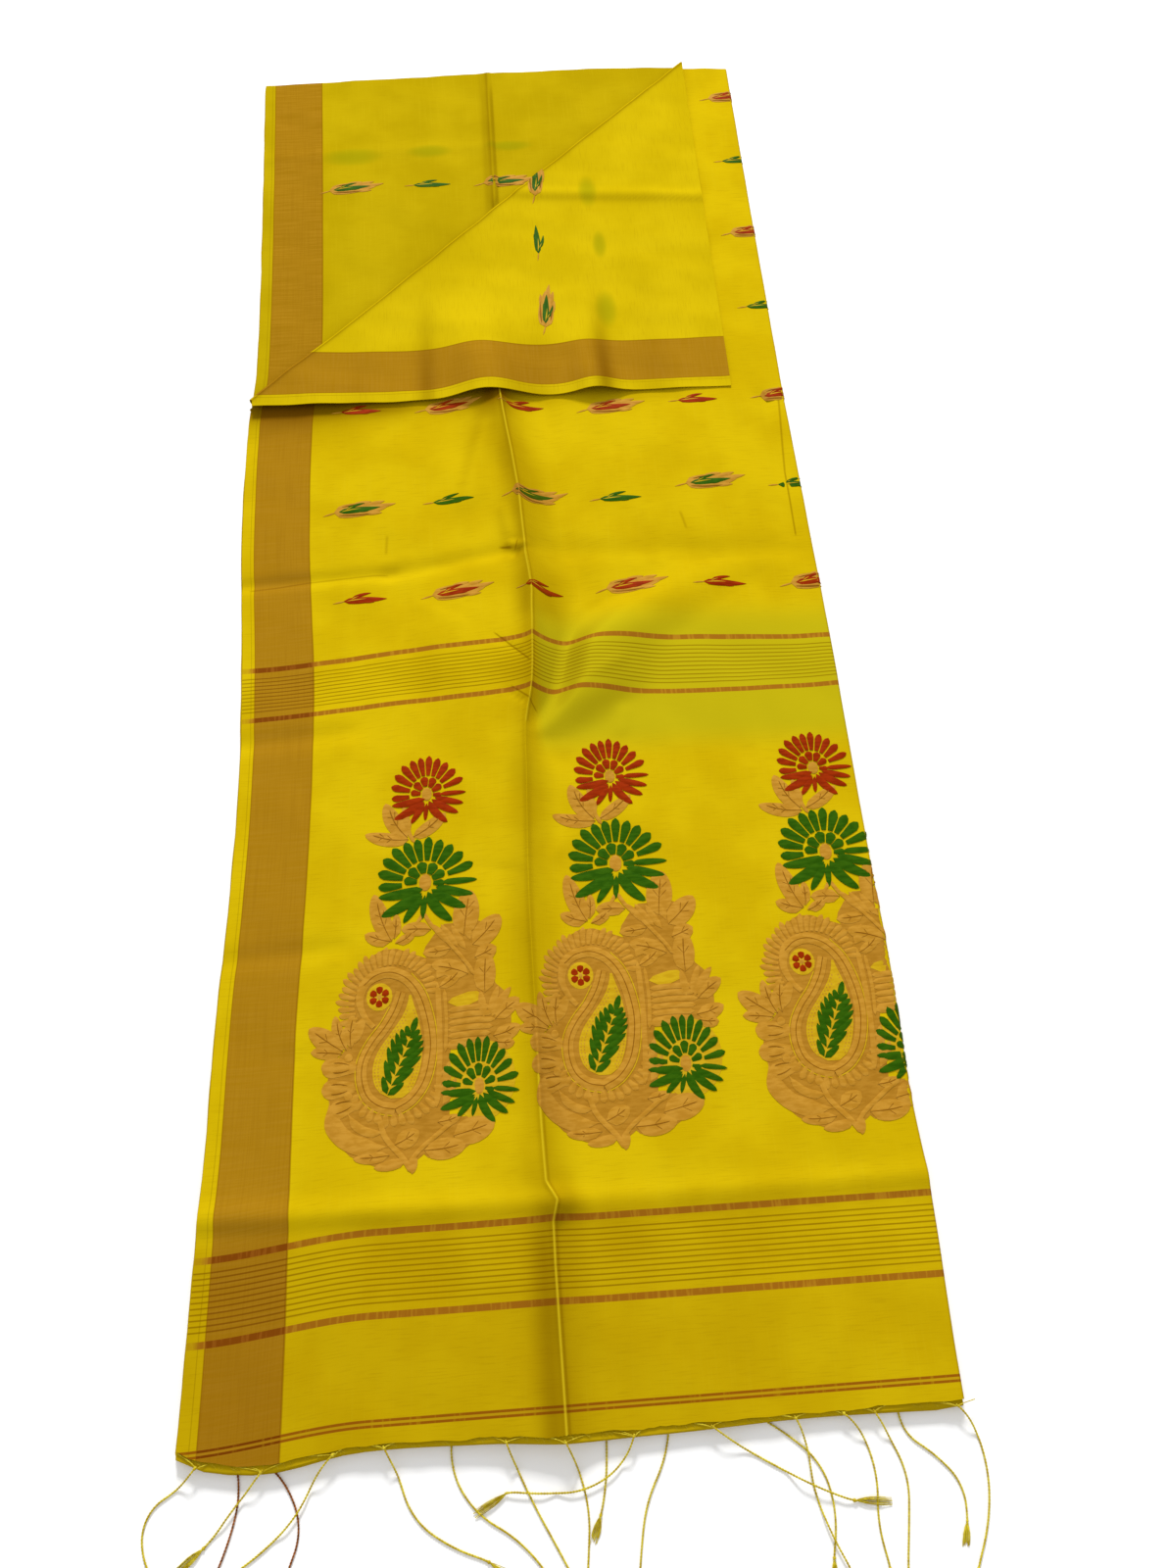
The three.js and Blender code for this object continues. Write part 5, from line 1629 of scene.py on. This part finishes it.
def cord_tree():
    tree = bpy.data.node_groups.new("twisted cord", "GeometryNodeTree")
    face, n, link = tree.interface, tree.nodes, tree.links.new
    face.new_socket("Paths", in_out="INPUT", socket_type="NodeSocketGeometry")
    names = {}
    for label in ("Ply radius", "Ply reach", "Pitch", "Step"):
        names[label] = face.new_socket(label, in_out="INPUT",
                                       socket_type="NodeSocketFloat").identifier
    names["Finish"] = face.new_socket("Finish", in_out="INPUT",
                                      socket_type="NodeSocketMaterial").identifier
    face.new_socket("Cords", in_out="OUTPUT", socket_type="NodeSocketGeometry")
    start, end = n.new("NodeGroupInput"), n.new("NodeGroupOutput")
    curve, even = n.new("GeometryNodeMeshToCurve"), n.new("GeometryNodeResampleCurve")
    even.mode = "LENGTH"
    link(start.outputs["Paths"], curve.inputs["Mesh"])
    link(curve.outputs[0], even.inputs["Curve"])
    link(start.outputs["Step"], even.inputs["Length"])
    length = n.new("GeometryNodeSplineParameter")
    normal, tangent = n.new("GeometryNodeInputNormal"), n.new("GeometryNodeInputTangent")
    across = n.new("ShaderNodeVectorMath")
    across.operation = "CROSS_PRODUCT"
    link(tangent.outputs[0], across.inputs[0])
    link(normal.outputs[0], across.inputs[1])
    turns = n.new("ShaderNodeMath")
    turns.operation = "DIVIDE"
    link(length.outputs["Length"], turns.inputs[0])
    link(start.outputs["Pitch"], turns.inputs[1])
    join = n.new("GeometryNodeJoinGeometry")
    for phase in (0.0, 0.5):
        angle = n.new("ShaderNodeMath")
        angle.operation = "MULTIPLY_ADD"
        link(turns.outputs[0], angle.inputs[0])
        angle.inputs[1].default_value = 2 * math.pi
        angle.inputs[2].default_value = 2 * math.pi * phase
        parts = []
        for operation, direction in (("COSINE", normal), ("SINE", across)):
            wave = n.new("ShaderNodeMath")
            wave.operation = operation
            link(angle.outputs[0], wave.inputs[0])
            amount = n.new("ShaderNodeMath")
            amount.operation = "MULTIPLY"
            link(wave.outputs[0], amount.inputs[0])
            link(start.outputs["Ply reach"], amount.inputs[1])
            push = n.new("ShaderNodeVectorMath")
            push.operation = "SCALE"
            link(direction.outputs[0], push.inputs[0])
            link(amount.outputs[0], push.inputs["Scale"])
            parts.append(push)
        offset = n.new("ShaderNodeVectorMath")
        link(parts[0].outputs[0], offset.inputs[0])
        link(parts[1].outputs[0], offset.inputs[1])
        move, sweep = n.new("GeometryNodeSetPosition"), n.new("GeometryNodeCurveToMesh")
        circle = n.new("GeometryNodeCurvePrimitiveCircle")
        circle.inputs["Resolution"].default_value = 6
        link(start.outputs["Ply radius"], circle.inputs["Radius"])
        link(even.outputs[0], move.inputs["Geometry"])
        link(offset.outputs[0], move.inputs["Offset"])
        link(move.outputs[0], sweep.inputs["Curve"])
        link(circle.outputs[0], sweep.inputs["Profile Curve"])
        sweep.inputs["Fill Caps"].default_value = True
        link(sweep.outputs[0], join.inputs[0])
    real, dress = n.new("GeometryNodeRealizeInstances"), n.new("GeometryNodeSetMaterial")
    link(join.outputs[0], real.inputs[0])
    link(real.outputs[0], dress.inputs["Geometry"])
    link(start.outputs["Finish"], dress.inputs["Material"])
    link(dress.outputs[0], end.inputs[0])
    return tree, names


twist, twist_inputs = cord_tree()
print("cord inputs:", sorted(twist_inputs))

# %% [markdown]
# The warp threads have no weave to follow, so their finish reads the object's own coordinates.

# %% Thread finishes


def thread_finish(name, light, dark):
    g = Graph(name)
    place = g.nodes.new("ShaderNodeTexCoord").outputs["Object"]
    color = g.mix(g.ramp(g.noise(place, 260.0, 2.0), 0.35, 0.65), light, dark)
    g.bump(g.noise(place, 2600.0, 2.0), 0.3, 0.0002)
    return g.finish(color, 0.55, sheen=0.15, specular=0.22, gloss=YELLOW_GLOSS)


cord_silk = thread_finish("cord silk", dye(232, 212, 56), dye(196, 168, 26))
brown_silk = thread_finish("brown cord silk", dye(172, 96, 40), dye(118, 58, 20))
print("thread finishes:", cord_silk.name, "and", brown_silk.name)

# %% Sweeping the plies


def swept(name, paths, finish, radius, reach, pitch, step):
    """Twisted threads along many paths, as one piece. The sizes are in millimetres."""
    points, edges, first = [], [], 0
    for path in paths:
        points += to_model(path).tolist()
        edges += [(first + k, first + k + 1) for k in range(len(path) - 1)]
        first += len(path)
    mesh = bpy.data.meshes.new(name)
    mesh.from_pydata(points, edges, [])
    carrier = put_in_scene("carrier", mesh)
    modifier = carrier.modifiers.new("twist", "NODES")
    modifier.node_group = twist
    for label, value in (("Ply radius", radius), ("Ply reach", reach), ("Pitch", pitch),
                         ("Step", step), ("Finish", finish)):
        key = twist_inputs[label]
        modifier[key] = value if label == "Finish" else value * MM
    made = applied(carrier, name)
    made.shade_smooth()
    return counted(put_in_scene(name, made))


# %% [markdown]
# Each cord ends in a brush of loose threads, and each front cord gathers a few threads of the
# hem at its root. The threads differ by chance, from one fixed seed, so every run gives the same.

# %% Cords, brushes and roots
BRUSH_THREADS, ROOT_THREADS = 26, 3
CORD_TWIST = (0.47, 0.42, 4.4, 1.1)
random = np.random.default_rng(7)
paths = {"front": [], "back": [], "brown": []}
brushes, roots, knots = [], [], []
for (root, length, headings, ply, tuft), (plan, z) in zip(CORDS, cords):
    whole = np.column_stack([plan, z])
    plain = whole[:length - tuft + 3:2]
    paths["brown" if root in BROWN_ROOTS else ply].append(plain)
    start, run = whole[length - tuft], whole[length] - whole[length - tuft]
    run[2] = 0
    run /= np.linalg.norm(run)
    side = np.array([-run[1], run[0], 0])
    knots.append(start)
    for _ in range(BRUSH_THREADS):
        spread, height = random.uniform(-1, 1), random.uniform(0, 1)
        long = tuft * random.uniform(0.75, 1.08)
        s = np.linspace(0, 1, 6)
        wide = 3.0 * np.sin(np.minimum(s * 2.2, 1.9)) * spread
        lift = 0.2 + height * 1.9 * np.sin(s * 2.6 + 0.3)
        hair = start + s[:, None] * long * run + wide[:, None] * side
        hair[:, 2] = np.maximum(start[2] - 0.9, 0) * (1 - s * 0.6) + lift
        brushes.append(hair)
    if ply == "front":
        for k in range(ROOT_THREADS):
            away = random.uniform(6, 20) * (1 if k % 2 else -1)
            here = np.linspace(1, 0, 7)
            u = root + away * here ** 1.3
            v = np.interp(here, [0, 1], [plan[2, 1], hem_at(root + away) + HEM_LEDGE + 0.6])
            heights = [hem_top(a) + 0.9 + 0.5 * math.sin(b * 3.1) for a, b in zip(u, here)]
            roots.append(np.column_stack([u, v, heights]))
        knots.append(whole[2])
cords_front = swept("cords_front", paths["front"], cord_silk, *CORD_TWIST)
cords_back = swept("cords_back", paths["back"], cord_silk, *CORD_TWIST)
cords_brown = swept("cords_brown", paths["brown"], brown_silk, *CORD_TWIST)
tassels = swept("tassel_threads", brushes, cord_silk, 0.16, 0.07, 9, 3.6)
root_threads = swept("root_threads", roots, cord_silk, 0.26, 0.2, 5, 2.2)

# %% [markdown]
# ## Knots and loose threads
# A small knot holds each cord at its root and above its brush, and single threads have worked
# loose along the torn hem. Both repeat, so one tree copies a small shape to many points, turns
# and sizes each copy at random from a fixed seed, and makes them real.

# %% Copy tree


def copy_tree():
    tree = bpy.data.node_groups.new("copies along a line", "GeometryNodeTree")
    face, n, link = tree.interface, tree.nodes, tree.links.new
    face.new_socket("Places", in_out="INPUT", socket_type="NodeSocketGeometry")
    names = {}
    for label, kind in (("Shape", "NodeSocketObject"), ("Finish", "NodeSocketMaterial"),
                        ("Smallest", "NodeSocketFloat"), ("Largest", "NodeSocketFloat"),
                        ("Turn", "NodeSocketFloat"), ("Seed", "NodeSocketInt")):
        names[label] = face.new_socket(label, in_out="INPUT", socket_type=kind).identifier
    face.new_socket("Copies", in_out="OUTPUT", socket_type="NodeSocketGeometry")
    start, end = n.new("NodeGroupInput"), n.new("NodeGroupOutput")
    info, copy = n.new("GeometryNodeObjectInfo"), n.new("GeometryNodeInstanceOnPoints")
    size, turn = n.new("FunctionNodeRandomValue"), n.new("FunctionNodeRandomValue")
    link(start.outputs["Smallest"], size.inputs[2])
    link(start.outputs["Largest"], size.inputs[3])
    link(start.outputs["Seed"], size.inputs["Seed"])
    back = n.new("ShaderNodeMath")
    back.operation = "MULTIPLY"
    back.inputs[1].default_value = -1.0
    link(start.outputs["Turn"], back.inputs[0])
    link(back.outputs[0], turn.inputs[2])
    link(start.outputs["Turn"], turn.inputs[3])
    link(start.outputs["Seed"], turn.inputs["Seed"])
    spin = n.new("ShaderNodeCombineXYZ")
    link(turn.outputs[1], spin.inputs[2])
    link(start.outputs["Places"], copy.inputs["Points"])
    link(start.outputs["Shape"], info.inputs["Object"])
    link(info.outputs["Geometry"], copy.inputs["Instance"])
    link(size.outputs[1], copy.inputs["Scale"])
    link(spin.outputs[0], copy.inputs["Rotation"])
    real, dress = n.new("GeometryNodeRealizeInstances"), n.new("GeometryNodeSetMaterial")
    link(copy.outputs[0], real.inputs[0])
    link(real.outputs[0], dress.inputs["Geometry"])
    link(start.outputs["Finish"], dress.inputs["Material"])
    link(dress.outputs[0], end.inputs[0])
    return tree, names


copies, copy_inputs = copy_tree()
print("copy inputs:", sorted(copy_inputs))

# %% Small shapes to copy
KNOT, LOOSE_HALF, LOOSE_SIDES = 1.25, 0.1, 4


def copied(name, shape_mesh, places, finish, smallest, largest, turn, seed):
    shape = put_in_scene("shape", shape_mesh)
    spots = bpy.data.meshes.new("places")
    spots.from_pydata(to_model(places).tolist(), [], [])
    carrier = put_in_scene("carrier", spots)
    modifier = carrier.modifiers.new("copies", "NODES")
    modifier.node_group = copies
    for label, value in (("Shape", shape), ("Finish", finish), ("Smallest", smallest),
                         ("Largest", largest), ("Turn", turn), ("Seed", seed)):
        modifier[copy_inputs[label]] = value
    made = applied(carrier, name)
    made.shade_smooth()
    bpy.data.objects.remove(shape)
    return counted(put_in_scene(name, made))


def tube_mesh(name, path, radius, sides):
    """A thin closed tube along a path, for one loose thread."""
    path = np.asarray(path, float)
    run = np.gradient(path, axis=0)
    points, faces = [], []
    for (x, y, z), (rx, ry, _) in zip(path, run):
        long = math.hypot(rx, ry) or 1
        for k in range(sides):
            a = 2 * math.pi * k / sides
            points.append((x - ry / long * radius * math.cos(a),
                           y + rx / long * radius * math.cos(a), z + radius * math.sin(a)))
    for i in range(len(path) - 1):
        for k in range(sides):
            m = (k + 1) % sides
            faces.append((i * sides + k, i * sides + m, (i + 1) * sides + m, (i + 1) * sides + k))
    faces.append(tuple(range(sides))[::-1])
    faces.append(tuple(range((len(path) - 1) * sides, len(path) * sides)))
    mesh = bpy.data.meshes.new(name)
    mesh.from_pydata((np.array(points) * MM).tolist(), [], faces)
    work = bmesh.new()
    work.from_mesh(mesh)
    bmesh.ops.recalc_face_normals(work, faces=work.faces)
    work.to_mesh(mesh)
    work.free()
    return mesh


def knot_mesh():
    """A ball with three soft lobes."""
    work = bmesh.new()
    bmesh.ops.create_icosphere(work, subdivisions=2, radius=KNOT * MM)
    for vertex in work.verts:
        a = math.atan2(vertex.co.y, vertex.co.x)
        vertex.co *= 1 + 0.12 * math.sin(3 * a + vertex.co.z / MM * 2)
    mesh = bpy.data.meshes.new("knot")
    work.to_mesh(mesh)
    work.free()
    return mesh


# %% Knots and loose threads
cord_knots = copied("cord_knots", knot_mesh(), knots, cord_silk, 0.75, 1.1, 3.1, 3)
loose = tube_mesh("loose", [(0, 2.5, 0), (0.4, 0.5, 0.25), (-0.2, -1.6, 0.2), (0.9, -3.6, -0.1),
                            (0.6, -5.4, -0.35)], LOOSE_HALF, LOOSE_SIDES)
hem_u = np.sort(random.uniform(-8, 576, 190))
hem_places = [(u, float(hem_at(u)) + HEM_LEDGE + float(torn(u)), hem_top(u) + 1.0) for u in hem_u]
hem_threads = copied("hem_threads", loose, hem_places, cord_silk, 0.35, 1.05, 1.25, 11)

# %% [markdown]
# ## Riding and replacing
# Every piece belongs to the one rigid body. The shells stand for the plain solids, which stay
# behind for collision.

# %% Pieces and sheets
everything = [front_cloth, under_cloth, corner_cloth, layers, *motifs, cords_front, cords_back,
              cords_brown, tassels, root_threads, cord_knots, hem_threads]
for piece in everything:
    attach(piece, BODY)
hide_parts("front_stretch")
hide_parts("under_stretch")
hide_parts("turned_corner")
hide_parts("folded_layers")
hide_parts("fringe_front")
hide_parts("fringe_back")
print("pieces:", len(everything))

# %% [markdown]
# ## Floor and light
# The saree lies on a pale ground in soft, even light. A large area light beyond the top fold
# gives the folds their shade, and a bright plain world fills them. A sun would give harder
# edges than the real folds show.

# %% Floor and light
FILL = 0.74
WINDOW, WINDOW_SIZE, WINDOW_PLACE = 920, 1.7, (0.1, 8.0, 4.9)
bpy.ops.mesh.primitive_plane_add(size=8, location=(0, 0, 0))
floor = bpy.context.object
floor.name = "floor"
pale_table = Graph("pale table").finish((0.95, 0.95, 0.95, 1), 0.9, specular=0.1)
floor.data.materials.append(pale_table)

world = bpy.data.worlds.new("soft light")
bpy.context.scene.world = world
world.use_nodes = True
world.node_tree.nodes["Background"].inputs[0].default_value = (1, 1, 1, 1)
world.node_tree.nodes["Background"].inputs[1].default_value = FILL

lamp = bpy.data.lights.new("window", "AREA")
lamp.shape, lamp.size, lamp.energy = "SQUARE", WINDOW_SIZE, WINDOW
window = put_in_scene("window", lamp)
window.location = WINDOW_PLACE
window.rotation_mode = "QUATERNION"
window.rotation_quaternion = (-Vector(WINDOW_PLACE)).to_track_quat("-Z", "Y")
bpy.context.scene.view_settings.view_transform = "Standard"
print("window at", WINDOW_PLACE)
